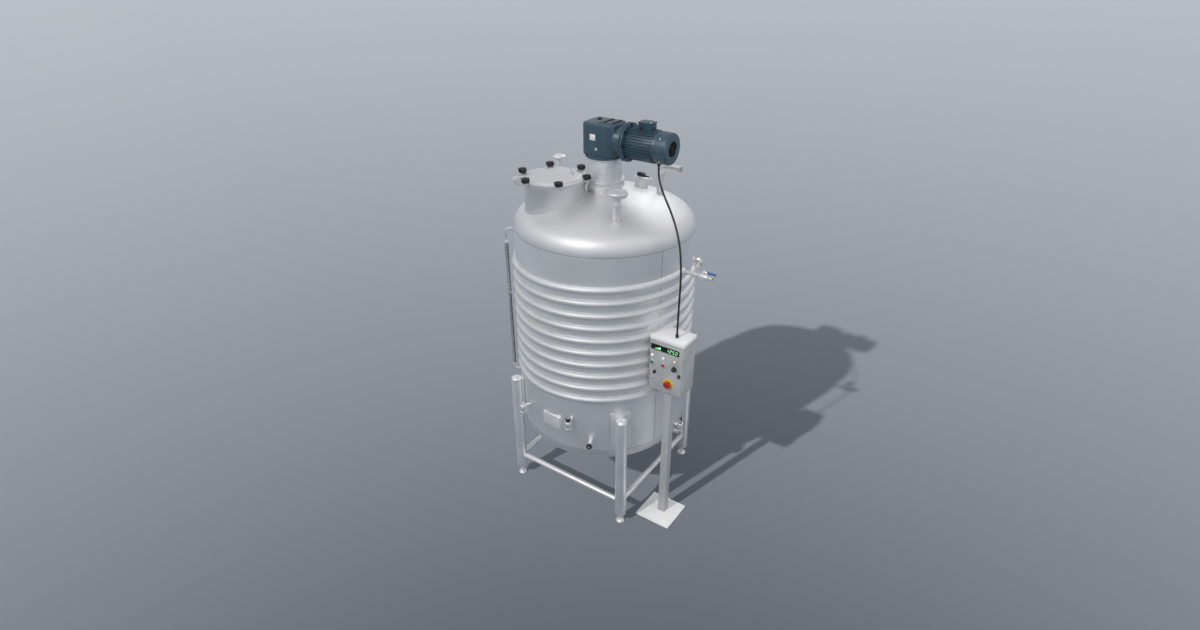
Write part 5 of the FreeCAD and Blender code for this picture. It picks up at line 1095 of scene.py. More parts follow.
def makeGearDetails():
    size = gearSizes
    rows = []
    for x in size["boltRows"]:
        values = {"Part": bolt6, "Count": 6, "Step": (0, size["boltPitch"], 0),
                  "Finish": finishes["boltBlack"]}
        mesh = runTree(emptyHolder("coverBolts"), rowTree, values)
        mesh.transform(atSpot(x, size["boltFirst"], size["coverTop"]))
        rows.append(mesh)
    joinedPiece("coverBolts", rows, "boltBlack", "tank")
    joint = blockMesh("caseJoint", size["jointWide"], size["jointHigh"], 0.014, size["jointLeft"],
                      size["jointRight"], atSpot(0, 0, size["jointLevel"]) @ standUp)
    finishPiece("caseJoint", joint, "gearPaint", "tank", width=0.0008)
    lip = [(0, 2.8035), (0.136, 2.8035), (0.139, 2.806), (0.139, 2.815), (0.136, 2.8175), (0, 2.8175)]
    turnedPiece("outputLip", lip, Matrix.Translation(tankAxis), 96, "gearPaint", "tank")
    front = atSpot(size["plateX"], size["front"], size["plateZ"]) @ faceFront
    plate = blockMesh("ratingPlate", 0.046, 0.042, 0.003, -0.0005, 0.0012, front)
    finishPiece("ratingPlate", plate, "plateMetal", "tank", width=0.0003)
    pins = []
    profile = [(0, 0.001), (0.0018, 0.001), (0.0014, 0.0024), (0, 0.0027)]
    for x in (-0.019, 0.019):
        for z in (-0.017, 0.017):
            pins.append(latheMesh("pin", profile, front @ Matrix.Translation((x, z, 0)), 12))
    joinedPiece("ratingPins", pins, "brightSteel", "tank")
    place = atSpot(size["stripX"], size["front"], size["plateZ"]) @ faceFront
    strip = blockMesh("oilStrip", 0.006, 0.044, 0.0025, -0.0005, 0.0022, place)
    finishPiece("oilStrip", strip, "gearPaint", "tank", width=0.0006)
    plugs = []
    ring = [(0, -0.001), (0.0105, -0.001), (0.0105, 0.002), (0.0095, 0.003), (0, 0.003)]
    for y, turned in ((size["front"], faceFront), (-size["front"], faceBack)):
        place = atSpot(size["plugX"], y, size["plugZ"]) @ turned
        plugs.append(latheMesh("plugRing", ring, place, 32))
        plugs.append(hexMesh("plugHead", 0.0125, 0.003, 0.009, place))
    joinedPiece("oilPlug", plugs, "brightSteel", "tank", width=0.0005)
    place = atSpot(*size["breather"], size["top"])
    rows = ((0.008, 0.9), (0.009, 1), (0.026, 1), (0.029, 0.82))
    breather = lobedMesh("breather", 12, 0.0135, 0.0012, rows, place)
    finishPiece("breatherCap", breather, "knobPlastic", "tank", limit=50)
    base = hexMesh("breatherBase", 0.024, 0.0, 0.0078, place)
    finishPiece("breatherBase", base, "brightSteel", "tank", width=0.0005)
    for side, face, turn in zip(("Left", "Right"), size["adaptorFaces"], (-1, 1)):
        place = atSpot(face, 0, size["axis"]) @ Matrix.Rotation(turn * math.pi / 2, 4, "Y")
        ringOfBolts("adaptorBolts" + side, place, 8, size["adaptorRing"], bolt8, "tank",
                    "boltBlack")
    place = atSpot(0, 0, size["outputFace"]) @ Matrix.Rotation(math.pi, 4, "X")
    ringOfBolts("outputBolts", place, 12, size["outputRing"], bolt8, "tank")
    print("gear details made")


coverSizes = {"left": 0.4585, "right": 0.547, "radius": 0.108, "hole": 0.052, "wire": 0.0016,
              "shoulder": 0.014, "rings": 5, "bars": (0.006, 0.0545), "screwInset": 0.030}


def makeFanCover():
    size = coverSizes
    radius, right, left = size["radius"], size["right"], size["left"]
    bend = size["shoulder"]
    outer = [(radius, left), (radius, right - bend)]
    for step in range(1, 7):
        turn = math.pi / 2 * step / 6
        outer.append((radius - bend + bend * math.cos(turn), right - bend + bend * math.sin(turn)))
    outer += [(size["hole"] + 0.004, right), (size["hole"], right - 0.003)]
    inner = [(size["hole"], right - 0.006), (radius - bend, right - 0.005), (radius - 0.005, right - bend),
             (radius - 0.0025, left)]
    place = atSpot(0, 0, gearSizes["axis"]) @ lieAlongX
    cup = latheMesh("fanCup", outer + inner, place, 96)
    spot = left + 0.012
    bulge = [(radius - 0.001, spot - 0.004), (radius + 0.0012, spot), (radius - 0.001, spot + 0.004)]
    bead = latheMesh("bead", bulge, place, 96)
    edge = [(0.1, left), (0.1056, left), (0.1056, left + 0.0045), (0.1, left + 0.0045)]
    seat = latheMesh("seat", edge, place, 72)
    joinedPiece("fanCup", [cup, seat, bead], "gearPaint", "tank", ("fan_cover",))
    wires = []
    for index in range(size["rings"]):
        ring = (index + 1) * size["hole"] / (size["rings"] + 0.2)
        wires.append([place @ Vector((x, y, right - 0.003)) for x, y in circlePoints(ring, 64)])
    rounds = curveHolder("grilleRings", wires, True)
    rounds.data.bevel_depth = size["wire"]
    rounds.data.bevel_resolution = 2
    parts = [plainMesh(rounds, "grilleRings")]
    bpy.data.objects.remove(rounds)
    for x, y in circlePoints(1, 6):
        ends = [place @ Vector((reach * x, reach * y, right - 0.005)) for reach in size["bars"]]
        parts.append(rodMesh("grilleBar", ends, size["wire"], sides=8))
    hub = [(0, right - 0.007), (0.008, right - 0.007), (0.008, right - 0.002), (0.006, right - 0.001),
           (0, right - 0.001)]
    parts.append(latheMesh("grilleHub", hub, place, 24))
    joinedPiece("grilleWires", parts, "boltBlack", "tank")
    screws = []
    head = [(0, -0.001), (0.0055, -0.001), (0.0055, 0.0015), (0.0035, 0.0032), (0, 0.0036)]
    reach = Matrix.Translation((left + size["screwInset"], 0, radius))
    for k in range(4):
        turn = Matrix.Rotation(math.pi / 2 * k + math.pi / 4, 4, "X")
        screws.append(latheMesh("coverScrew", head, atSpot(0, 0, gearSizes["axis"]) @ turn @ reach, 20))
    joinedPiece("coverScrews", screws, "brightSteel", "tank")
    print("fan cover made")


terminalSizes = {"screwInset": 0.010, "sealInset": 0.003, "sealLow": 0.0098, "sealHigh": 0.0072,
                 "plug": (0.318, -0.038, 3.048)}


def makeTerminalDetails():
    size = terminalSizes
    low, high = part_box("terminal_box")
    inset = size["screwInset"]
    screws = []
    head = [(0, -0.001), (0.0050, -0.001), (0.0050, 0.002), (0.004, 0.0032), (0.0016, 0.0032),
            (0.0016, 0.0018), (0, 0.0018)]
    for x in (low.x + inset, high.x - inset):
        for y in (low.y + inset, high.y - inset):
            screws.append(latheMesh("lidScrew", head, Matrix.Translation((x, y, high.z)), 20))
    joinedPiece("lidScrews", screws, "brightSteel", "tank")
    width, depth = high.x - low.x - 2 * size["sealInset"], high.y - low.y - 2 * size["sealInset"]
    centre = underMiddle(low, high)
    seal = blockMesh("lidSeal", width, depth, 0.004, high.z - size["sealLow"], high.z - size["sealHigh"],
                     centre)
    finishPiece("lidSeal", seal, "blackRubber", "tank")
    place = atSpot(*size["plug"]) @ faceFront
    collar = [(0, -0.001), (0.011, -0.001), (0.011, 0.004), (0.010, 0.005), (0, 0.005)]
    plug = [latheMesh("plug", collar, place, 32), hexMesh("plugHex", 0.017, 0.005, 0.010, place)]
    joinedPiece("blindPlug", plug, "knobPlastic", "tank", width=0.0005)
    print("terminal details made")


makeGearDetails()
makeFanCover()
makeTerminalDetails()


# Dome fittings: sight cap, vent cap, lamp

capSizes = {"frontLow": 2.594, "capLow": 2.646, "capHigh": 2.682, "capRadius": 0.072, "pipe": 0.029,
            "ferrule": 0.036, "glass": 0.046, "ventLow": 2.684, "ventRadius": 0.050}


def makeCaps():
    size = capSizes
    place = Matrix.Translation(domePlace("front"))
    low, high, radius, pipe = size["capLow"], size["capHigh"], size["capRadius"], size["pipe"]
    start, ferrule, glass = size["frontLow"], size["ferrule"], size["glass"]
    profile = [(0, start), (ferrule, start), (ferrule, start + 0.004), (ferrule - 0.004, start + 0.006),
               (pipe, start + 0.008), (pipe, low - 0.008), (pipe + 0.008, low - 0.001),
               (radius - 0.014, low), (radius - 0.004, low + 0.006), (radius, low + 0.015),
               (radius, high - 0.005), (radius - 0.004, high), (glass + 0.004, high), (glass, high - 0.003),
               (glass, high - 0.007), (0, high - 0.007)]
    turnedPiece("sightCap", profile, place, 96, "castSteel", "tank", ("nozzle_caps",))
    pane = [(0, high - 0.0068), (glass - 0.0005, high - 0.0068), (glass - 0.0005, high - 0.002),
            (glass - 0.002, high - 0.0012), (0, high - 0.0012)]
    turnedPiece("sightGlass", pane, place, 72, "milkGlass", "tank")
    ringOfBolts("sightBolts", place @ Matrix.Translation((0, 0, high)), 8, 0.060, screw4, "tank")
    vent = Matrix.Translation(domePlace("vent"))
    base, rim = size["ventLow"], size["ventRadius"]
    dome = [(0, base), (rim - 0.003, base), (rim, base + 0.003), (rim, base + 0.009)]
    for step in range(1, 9):
        turn = math.pi / 2 * step / 9
        dome.append((rim * math.cos(turn), base + 0.010 + 0.018 * math.sin(turn)))
    dome.append((0, base + 0.028))
    band = [(0.026, base - 0.014), (0.030, base - 0.014), (0.030, base - 0.0002), (0.026, base - 0.0002)]
    parts = [latheMesh("ventCap", dome, vent, 72), latheMesh("ventBand", band, vent, 48)]
    joinedPiece("ventCap", parts, "castSteel", "tank")
    print("caps made")


lampSizes = {"seat": 0.078, "glass": 0.056, "body": 0.033, "offset": -0.0213}


def makeLamp():
    size = lampSizes
    frameHere = lampFrame()
    seat, glass = size["seat"], size["glass"]
    ring = [(glass - 0.006, seat), (glass, seat), (glass, seat + 0.005), (glass - 0.002, seat + 0.006),
            (glass - 0.006, seat + 0.006)]
    turnedPiece("lampRing", ring, frameHere, 72, "brightSteel", "tank", ("lamp_head",))
    # the pane in the lamp's ring is near-black: painted shade behind the glass
    pane = [(0, seat), (glass - 0.0062, seat), (glass - 0.0062, seat + 0.005), (0, seat + 0.005)]
    turnedPiece("lampPane", pane, frameHere, 64, "darkInside", "tank")
    place = frameHere @ Matrix.Translation((size["offset"], 0, seat + 0.006))
    radius = size["body"]
    body = [(0, 0), (radius, 0), (radius, 0.012), (radius - 0.002, 0.014), (radius - 0.002, 0.018),
            (radius - 0.004, 0.022), (radius - 0.012, 0.024), (0, 0.024)]
    turnedPiece("lampBody", body, place, 64, "knobPlastic", "tank")
    ringOfBolts("lampBolts", frameHere @ Matrix.Translation((0, 0, seat)), 6, 0.0602, screw3, "tank")
    print("lamp made")


makeCaps()
makeLamp()


# Level gauge

gaugeSizes = {"pipeReach": 0.035, "column": 0.0093, "columnInset": 0.002, "scale": 0.742, "ticks": 21,
              "tickInset": 0.020, "longTick": 0.009, "shortTick": 0.005}


def makeLevelGauge():
    # the CAD node holds pipes, guard and tube in one; what reaches sideways is a pipe
    size = gaugeSizes
    parts = looseParts(cadCopy("level_gauge"))
    pipes, tubes = [], []
    for part in parts:
        low, high = partBounds(part)
        if max(high.x - low.x, high.y - low.y) > size["pipeReach"]:
            pipes.append(part)
        else:
            tubes.append(part)
    joinedPiece("gaugePipes", pipes, "brightSteel", "tank", ("level_gauge",), width=0.0004)
    tubes.sort(key=lambda made: partBounds(made)[0].z)
    finishPiece("gaugeGuard", tubes[0], "boltBlack", "tank", width=0.0004)
    finishPiece("gaugeTube", tubes[-1], "gaugeGlass", "tank", width=0.0004)
    low, high = partBounds(tubes[-1])
    centre = underMiddle(low, high)
    # the column is a dark core that fills most of the glass tube: painted shade, so that the tube reads dark
    column, bottom, top = size["column"], low.z + size["columnInset"], high.z - size["columnInset"]
    core = [(0, bottom), (column, bottom), (column, top), (0, top)]
    turnedPiece("gaugeColumn", core, centre, 24, "darkInside", "tank")
    degrees = portPlaces["gaugeTop"][0]
    frameHere = facing(degrees, around(size["scale"], degrees, 0))
    ticks = []
    inset = size["tickInset"]
    for index in range(size["ticks"]):
        width = size["longTick"] if index % 5 == 0 else size["shortTick"]
        height = low.z + inset + (high.z - low.z - 2 * inset) * index / (size["ticks"] - 1)
        place = frameHere @ Matrix.Translation((0.0061, 0.007, height)) @ standUp
        ticks.append(blockMesh("tick", width, 0.0012, 0.0002, 0.0, 0.0008, place))
    joinedPiece("gaugeTicks", ticks, "dialInk", "tank")
    print("level gauge made")


makeLevelGauge()


# Valves and taps on the shell

tapSizes = {"offset": 0.738, "pipe": 0.012, "start": 0.671, "spout": 0.728}
tapKnobs = {  # the grips: where they start, their lobes, their radius and the radii of their pins
    "middle": {"number": 1, "low": 0.0133, "lobes": 8, "core": 0.0170, "pin": 0.006, "tip": 0.0045},
    "right": {"number": 3, "low": 0.7483, "lobes": 10, "core": 0.0200, "pin": 0.007, "tip": 0.005},
}


def valveFrame(port):
    # stands on the tank's axis at a port's level, with X pointing out through the port
    degrees, height = portPlaces[port][:2]
    return facing(degrees, around(0, degrees, height))


def makeSampleValves():
    meshes = []
    start = tapSizes["start"]
    for port, collar, waist, nut in (("middleTap", 0.017, 0.0145, 0.036),
                                     ("leftTap", 0.0127, 0.0122, 0.0215)):
        here = valveFrame(port)
        stem = here @ Matrix.Translation((tapSizes["offset"], 0, 0))
        body = [(0, -0.083), (0.0096, -0.083), (0.011, -0.080), (0.0225, -0.066), (0.026, -0.060),
                (0.026, -0.046), (0.0235, -0.044), (0.0235, -0.040), (0.026, -0.038), (0.026, -0.012),
                (0.0255, 0.000), (0.023, 0.008), (0.018, 0.0125), (0.005, 0.013), (0.005, 0.034),
                (0, 0.034)]
        meshes.append(latheMesh("valveBody", body, stem, 48))
        across = here @ lieAlongX
        pipe = tapSizes["pipe"]
        run = [(0, start), (pipe, start), (pipe, 0.688), (collar, 0.6895), (collar, 0.693), (waist, 0.695),
               (waist, 0.699), (collar, 0.701), (collar, 0.7045), (pipe, 0.706), (pipe, 0.730), (0, 0.730)]
        meshes.append(latheMesh("valvePipe", run, across, 32))
        meshes.append(hexMesh("valveUnion", nut, 0.7065, 0.7105, across))
    here = valveFrame("rightTap")
    across = here @ lieAlongX
    tap = [(0, start), (0.012, start), (0.012, 0.676), (0.0175, 0.677), (0.0175, 0.684), (0.0156, 0.686),
           (0.0156, 0.722), (0.018, 0.724), (0.018, 0.738), (0.0156, 0.744), (0.009, 0.748), (0.005, 0.748),
           (0.005, 0.770), (0, 0.770)]
    meshes.append(latheMesh("tapBody", tap, across, 40))
    meshes.append(hexMesh("tapUnion", 0.034, 0.690, 0.700, across))
    spout = [(0, -0.040), (0.0066, -0.040), (0.0084, -0.037), (0.0084, -0.028), (0.0098, -0.026),
             (0.0098, -0.022), (0.0084, -0.020), (0.0084, 0), (0, 0)]
    meshes.append(latheMesh("tapSpout", spout, here @ Matrix.Translation((tapSizes["spout"], 0, 0)), 32))
    joinedPiece("valveBodies", meshes, "castSteel", "tank", ("sample_valves",),
                width=0.0005)
    places = {"middle": valveFrame("middleTap") @ Matrix.Translation((tapSizes["offset"], 0, 0)),
              "right": across}
    for side, size in tapKnobs.items():
        body, node = f"sample_grip_{size['number']}", f"sample_knob_{size['number']}"
        low, pin, tip = size["low"], size["pin"], size["tip"]
        rows = ((low, 0.84), (low + 0.002, 0.96), (low + 0.005, 1), (low + 0.019, 1), (low + 0.0225, 0.93),
                (low + 0.024, 0.80))
        knob = lobedMesh("tapKnob", size["lobes"], size["core"], 0.0022, rows, places[side])
        finishPiece(side + "Knob", knob, "knobPlastic", body, (node,), limit=50)
        profile = [(0, low + 0.024), (pin, low + 0.024), (pin, low + 0.0255), (tip, low + 0.0268),
                   (0, low + 0.0268)]
        knobPin = latheMesh("knobPin", profile, places[side], 24)
        finishPiece(side + "Pin", knobPin, "brightSteel", body)
    print("sample valves made")


drainSizes = {"offset": 0.722, "start": 0.671}


def makeDrainValve():
    here = valveFrame("drain")
    stem = here @ Matrix.Translation((drainSizes["offset"], 0, 0))
    body = [(0, -0.044), (0.020, -0.044), (0.0225, -0.041), (0.0225, -0.036), (0.020, -0.034),
            (0.020, -0.028), (0.026, -0.024), (0.026, 0.014), (0.0235, 0.018), (0.0235, 0.024),
            (0.021, 0.026), (0.006, 0.026), (0.006, 0.042), (0, 0.042)]
    start = drainSizes["start"]
    run = [(0, start), (0.012, start), (0.012, 0.679), (0.0165, 0.680), (0.0165, 0.690), (0.012, 0.691),
           (0.012, 0.71), (0, 0.71)]
    parts = [latheMesh("drainBody", body, stem, 48), latheMesh("drainRun", run, here @ lieAlongX, 32)]
    joinedPiece("drainBody", parts, "castSteel", "tank", ("drain_valve",), width=0.0004)
    dressNode("drainLever", "drain_handle", "knobPlastic", "drain_lever", 0.0018)
    print("drain valve made")


dialSizes = {"x": 0.788, "z": 2.173, "front": -0.014, "radius": 0.032, "face": 0.0285, "start": 225,
             "sweep": 270, "marks": 31, "markEnd": 0.0255, "longMark": 0.0205, "shortMark": 0.0225,
             "figures": 4, "figureRing": 0.0165, "figureHigh": 0.0062,
             "inkLow": -0.0053, "inkHigh": -0.0049}
inletSizes = {"level": 2.077, "nutStart": 0.796, "valveStart": 0.812, "valveLength": 0.062, "end": 0.900,
              "leverLow": 2.110, "leverReach": 0.092, "stem": 0.843, "dialNut": 2.127}


def makeInletDetails():
    size = inletSizes
    across = atSpot(0, 0, size["level"]) @ lieAlongX
    nuts = [hexMesh("union", 0.038, start, start + 0.012, across)
            for start in (size["nutStart"], size["valveStart"] + size["valveLength"] + 0.002)]
    level, low, end = size["dialNut"], size["leverLow"], size["end"]
    nuts.append(hexMesh("dialNut", 0.019, level, level + 0.010, atSpot(dialSizes["x"], 0, 0)))
    ring = [(0.0105, end), (0.0165, end), (0.0165, end + 0.012), (0.0105, end + 0.012)]
    nuts.append(latheMesh("openEnd", ring, across, 40))
    nuts.append(hexMesh("stemNut", 0.016, low + 0.0062, low + 0.0125, atSpot(size["stem"], 0, 0)))
    joinedPiece("inletNuts", nuts, "castSteel", "tank", width=0.0006)
    centre = size["valveStart"] + size["valveLength"] / 2
    place = atSpot(centre + size["leverReach"] * 0.62, 0, low)
    sleeve = blockMesh("sleeve", size["leverReach"] * 0.78, 0.0215, 0.008, -0.0022, 0.0082, place)
    finishPiece("leverSleeve", sleeve, "blueSleeve", "inlet_lever", width=0.0022)
    dressNode("leverBar", "inlet_handle", "brightSteel", "inlet_lever", 0.0008)
    print("inlet details made")


makeSampleValves()
makeDrainValve()
makeInletDetails()


# Pressure dial

def textMesh(words, height, low, high, place):
    # plain figures, centred
    curve = bpy.data.curves.new("figures", "FONT")
    curve.body = words
    curve.size = height
    curve.align_x = "CENTER"
    curve.align_y = "CENTER"
    curve.extrude = (high - low) / 2
    holder = bpy.data.objects.new("figures", curve)
    scene.collection.objects.link(holder)
    mesh = plainMesh(holder, "figures")
    bpy.data.objects.remove(holder)
    mesh.transform(place @ Matrix.Translation((0, 0, (low + high) / 2)))
    return mesh


def makeDial():
    size = dialSizes
    place = atSpot(size["x"], size["front"], size["z"]) @ faceFront
    radius = size["radius"]
    case = [(0, -0.028), (radius - 0.003, -0.028), (radius - 0.001, -0.026), (radius - 0.001, -0.004),
            (radius, -0.003), (radius, -0.0008), (radius - 0.001, 0), (radius - 0.003, 0),
            (radius - 0.0035, -0.0008), (radius - 0.0035, -0.0065), (0, -0.0065)]
    turnedPiece("dialCase", case, place, 72, "brightSteel", "tank", ("pressure_gauge",))
    face = [(0, -0.0068), (size["face"], -0.0068), (size["face"], -0.0052), (0, -0.0052)]
    turnedPiece("dialFace", face, place, 64, "dialWhite", "tank")
    marks = []
    outer, inkLow, inkHigh = size["markEnd"], size["inkLow"], size["inkHigh"]
    for index in range(size["marks"]):
        turn = math.radians(size["start"] - size["sweep"] * index / (size["marks"] - 1))
        long = index % 5 == 0
        inner = size["longMark"] if long else size["shortMark"]
        tick = place @ onRing((inner + outer) / 2, turn) @ Matrix.Rotation(turn, 4, "Z")
        wide = 0.0009 if long else 0.0005
        marks.append(blockMesh("mark", outer - inner, wide, 0.0001, inkLow, inkHigh, tick))
    for index in range(size["figures"]):
        turn = math.radians(size["start"] - size["sweep"] * index / (size["figures"] - 1))
        spot = place @ onRing(size["figureRing"], turn)
        marks.append(textMesh(str(index * 2), size["figureHigh"], inkLow, inkHigh, spot))
    joinedPiece("dialMarks", marks, "dialInk", "tank")
    dressNode("dialNeedle", "gauge_needle", "dialInk", "needle", 0.0002)
    pane = [(0, -0.0026), (radius - 0.0036, -0.0026), (radius - 0.0036, -0.0012), (0, -0.0012)]
    turnedPiece("dialPane", pane, place, 64, "dialGlass", "tank")
    print("dial made")


makeDial()


# Levelling feet

footSizes = {"nut": 0.034, "nutLow": 0.0722, "nutHigh": 0.0838, "threads": 9, "threadLow": 0.030,
             "threadPitch": 0.0044, "stem": 0.012}


def makeFeet():
    solids, nuts = [], []
    size = footSizes
    stem = size["stem"]
    profile = [(0, 0), (0.0345, 0), (0.036, 0.0015), (0.036, 0.007), (0.0345, 0.009), (0.030, 0.0155),
               (0.022, 0.0215), (0.014, 0.0245), (stem, 0.026)]
    for index in range(size["threads"]):
        height = size["threadLow"] + index * size["threadPitch"]
        profile += [(stem, height), (stem - 0.0012, height + size["threadPitch"] / 2)]
    profile += [(stem, 0.090), (0, 0.090)]
    boot = [(stem, size["nutHigh"]), (0.042, size["nutHigh"]), (0.0445, 0.0862), (0.0445, 0.0925),
            (stem, 0.0925)]
    for x, y in legPlaces():
        place = atSpot(x, y, 0)
        solids.append(latheMesh("foot", profile, place, 40))
        nuts.append(hexMesh("lockNut", size["nut"], size["nutLow"], size["nutHigh"], place))
        solids.append(latheMesh("bootRing", boot, place, 48))
    joinedPiece("footPads", solids + nuts, "castSteel", "tank", ("levelling_feet",),
                width=0.0006)
    print("feet made")


makeFeet()


# Control box: door fittings

doorSizes = {"front": -0.3405, "displayX": 0.753, "displayZ": 1.619, "displayWidth": 0.226,
             "displayHeight": 0.044, "columns": (0.652, 0.743, 0.834), "lampRow": 1.546, "buttonRow": 1.486,
             "leftSelector": (0.676, 1.412), "rightSelector": (0.874, 1.440), "stop": (0.790, 1.347),
             "lock": (0.652, 1.352), "speedStart": 225, "speedStep": 27, "speedTicks": 11,
             "speedRing": 0.0238}


def onDoor(x, z):
    # a place on the door's face, with Z pointing out of it
    return atSpot(x, doorSizes["front"], z) @ faceFront


segmentPlaces = {"top": (0, 1, 0), "middle": (0, 0, 0), "bottom": (0, -1, 0), "upperLeft": (-1, 0.5, 90),
                 "upperRight": (1, 0.5, 90), "lowerLeft": (-1, -0.5, 90), "lowerRight": (1, -0.5, 90)}
digitSegments = {
    "0": ("top", "bottom", "upperLeft", "upperRight", "lowerLeft", "lowerRight"),
    "1": ("upperRight", "lowerRight"),
    "2": ("top", "middle", "bottom", "upperRight", "lowerLeft"),
    "5": ("top", "middle", "bottom", "upperLeft", "lowerRight"),
}


def digitMeshes(digit, place, width, height, stroke):
    # one figure of a segment display: the lit bars and the dark ones
    lit, dark = [], []
    half = stroke / 2
    for name, (across, up, turn) in segmentPlaces.items():
        length = (width if turn == 0 else height / 2) - stroke * 0.35
        reach = length / 2
        bar = [(-reach, 0), (-reach + half, half), (reach - half, half), (reach, 0), (reach - half, -half),
               (-reach + half, -half)]
        spot = place @ Matrix.Translation((across * width / 2, up * height / 2, 0))
        spot = spot @ Matrix.Rotation(math.radians(turn), 4, "Z")
        mesh = prismMesh("segment", bar, 0.0, 0.0004, spot)
        (lit if name in digitSegments[digit] else dark).append(mesh)
    return lit, dark


displaySizes = {"figures": "1250", "first": 0.020, "pitch": 0.024, "wide": 0.0125, "high": 0.0235,
                "stroke": 0.0032, "face": 0.0028, "bars": 6, "barFirst": -0.080, "barPitch": 0.0085}
leanFigures = Matrix(((1, 0.12, 0, 0), (0, 1, 0, 0), (0, 0, 1, 0), (0, 0, 0, 1)))


def makeDisplay():
    size = doorSizes
    shown = displaySizes
    place = onDoor(size["displayX"], size["displayZ"])
    width, height = size["displayWidth"], size["displayHeight"]
    frameOuter = blockMesh("bezel", width, height, 0.004, -0.0002, 0.0040, place)
    opening = blockMesh("window", width - 0.010, height - 0.010, 0.002, 0.0022, 0.006, place)
    bezel = cutWith(frameOuter, [opening])
    finishPiece("displayBezel", bezel, "knobPlastic", "door", ("door_indicators",),
                width=0.0006)
    pane = blockMesh("displayPane", width - 0.0104, height - 0.0104, 0.002, 0.0022, 0.0027, place)
    finishPiece("displayPane", pane, "displayBlack", "door")
    lit, dark = [], []
    for index, digit in enumerate(shown["figures"]):
        across = shown["first"] + index * shown["pitch"]
        spot = place @ Matrix.Translation((across, 0, shown["face"])) @ leanFigures
        on, off = digitMeshes(digit, spot, shown["wide"], shown["high"], shown["stroke"])
        lit += on
        dark += off
    spot = place @ Matrix.Translation((0.0555, -0.0118, shown["face"]))
    point = latheMesh("point", [(0, 0), (0.0014, 0), (0.0014, 0.0004), (0, 0.0004)], spot, 12)
    joinedPiece("displayFigures", lit + [point], "digitGreen", "door")
    joinedPiece("displayShade", dark, "digitDim", "door")
    bars = []
    for index in range(shown["bars"]):
        across = shown["barFirst"] + index * shown["barPitch"]
        spot = place @ Matrix.Translation((across, -0.012 + index * 0.0017, 0))
        bars.append(blockMesh("levelBar", 0.0055, 0.004 + index * 0.0034, 0.0005, 0.0028, 0.0032, spot))
    joinedPiece("displayBars", bars, "digitGreen", "door")
    print("display made")


def makeLampsAndButtons():
    size = doorSizes
    rims = []
    lens = [(0, 0.003), (0.0096, 0.003), (0.0096, 0.006), (0.0088, 0.0088), (0.0068, 0.0106),
            (0.0036, 0.0116), (0, 0.012)]
    lampRim = [(0, 0), (0.0135, 0), (0.0135, 0.002), (0.0122, 0.0042), (0.0098, 0.0042), (0.0098, 0.003),
               (0, 0.003)]
    for index, finish in enumerate(("whiteLens", "whiteLens", "amberLens")):
        place = onDoor(size["columns"][index], size["lampRow"])
        finishPiece(f"pilotLens{index + 1}", latheMesh("lens", lens, place, 40), finish, "door")
        rims.append(latheMesh("lampRim", lampRim, place, 48))
    cap = [(0, -0.005), (0.0108, -0.005), (0.0108, 0.0088), (0.0104, 0.0096), (0.0096, 0.010),
           (0.0080, 0.0098), (0.0050, 0.0092), (0, 0.0089)]
    capRim = [(0.0112, 0.0), (0.0158, 0.0), (0.0158, 0.0030), (0.0145, 0.0046), (0.0118, 0.0046),
              (0.0112, 0.0040)]
    for index, (name, node, finish) in enumerate((("startCap", "start_button", "greenCap"),
                                                  ("stopCap", "stop_button", "redCap"))):
        place = onDoor(size["columns"][index], size["buttonRow"])
        turnedPiece(name, cap, place, 48, finish, node.split("_")[0], (node,))
        rims.append(latheMesh("buttonRim", capRim, place, 48))
    joinedPiece("doorRims", rims, "brightSteel", "door")
    foot = [(0, -0.005), (0.003, -0.005), (0.003, 0.0006), (0.012, 0.0006), (0.012, 0.007), (0.0108, 0.009),
            (0, 0.009)]
    for name, node, body in (("leftSelector", "selector_left", "left_selector"),
                             ("rightSelector", "selector_right", "right_selector")):
        place = onDoor(*size[name])
        base = latheMesh("selectorBase", foot, place, 40)
        spot = place @ Matrix.Translation((0, 0.0012, 0))
        grip = blockMesh("selectorGrip", 0.0072, 0.0264, 0.0030, 0.002, 0.020, spot)
        joinedPiece(name, [base, grip], "knobPlastic", body, (node,), width=0.0007)
        spot = place @ Matrix.Translation((0, 0.0075, 0))
        mark = blockMesh("selectorMark", 0.0012, 0.0100, 0.0004, 0.0199, 0.0203, spot)
        finishPiece(name + "Mark", mark, "dialWhite", body)
    place = onDoor(size["columns"][2], size["buttonRow"])
    foot = [(0, -0.006), (0.004, -0.006), (0.004, 0.0003), (0.019, 0.0003), (0.019, 0.003), (0.0165, 0.006),
            (0, 0.006)]
    skirt = latheMesh("speedSkirt", foot, place, 56)
    rows = ((0.005, 1), (0.019, 0.95), (0.0212, 0.91), (0.022, 0.82))
    grip = lobedMesh("speedGrip", 18, 0.0152, 0.0011, rows, place)
    joinedPiece("speedDial", [skirt, grip], "knobPlastic", "speed", ("speed_knob",), limit=50)
    spot = place @ Matrix.Translation((0, 0.0085, 0))
    mark = blockMesh("speedPointer", 0.0016, 0.0100, 0.0004, 0.0219, 0.0230, spot)
    finishPiece("speedPointer", mark, "dialWhite", "speed")
    scale = []
    for index in range(size["speedTicks"]):
        turn = math.radians(size["speedStart"] - size["speedStep"] * index)
        spot = place @ onRing(size["speedRing"], turn) @ Matrix.Rotation(turn, 4, "Z")
        scale.append(blockMesh("speedTick", 0.0034, 0.0008, 0.0002, -0.0001, 0.0003, spot))
    joinedPiece("speedScale", scale, "dialInk", "door")
    print("door buttons made")


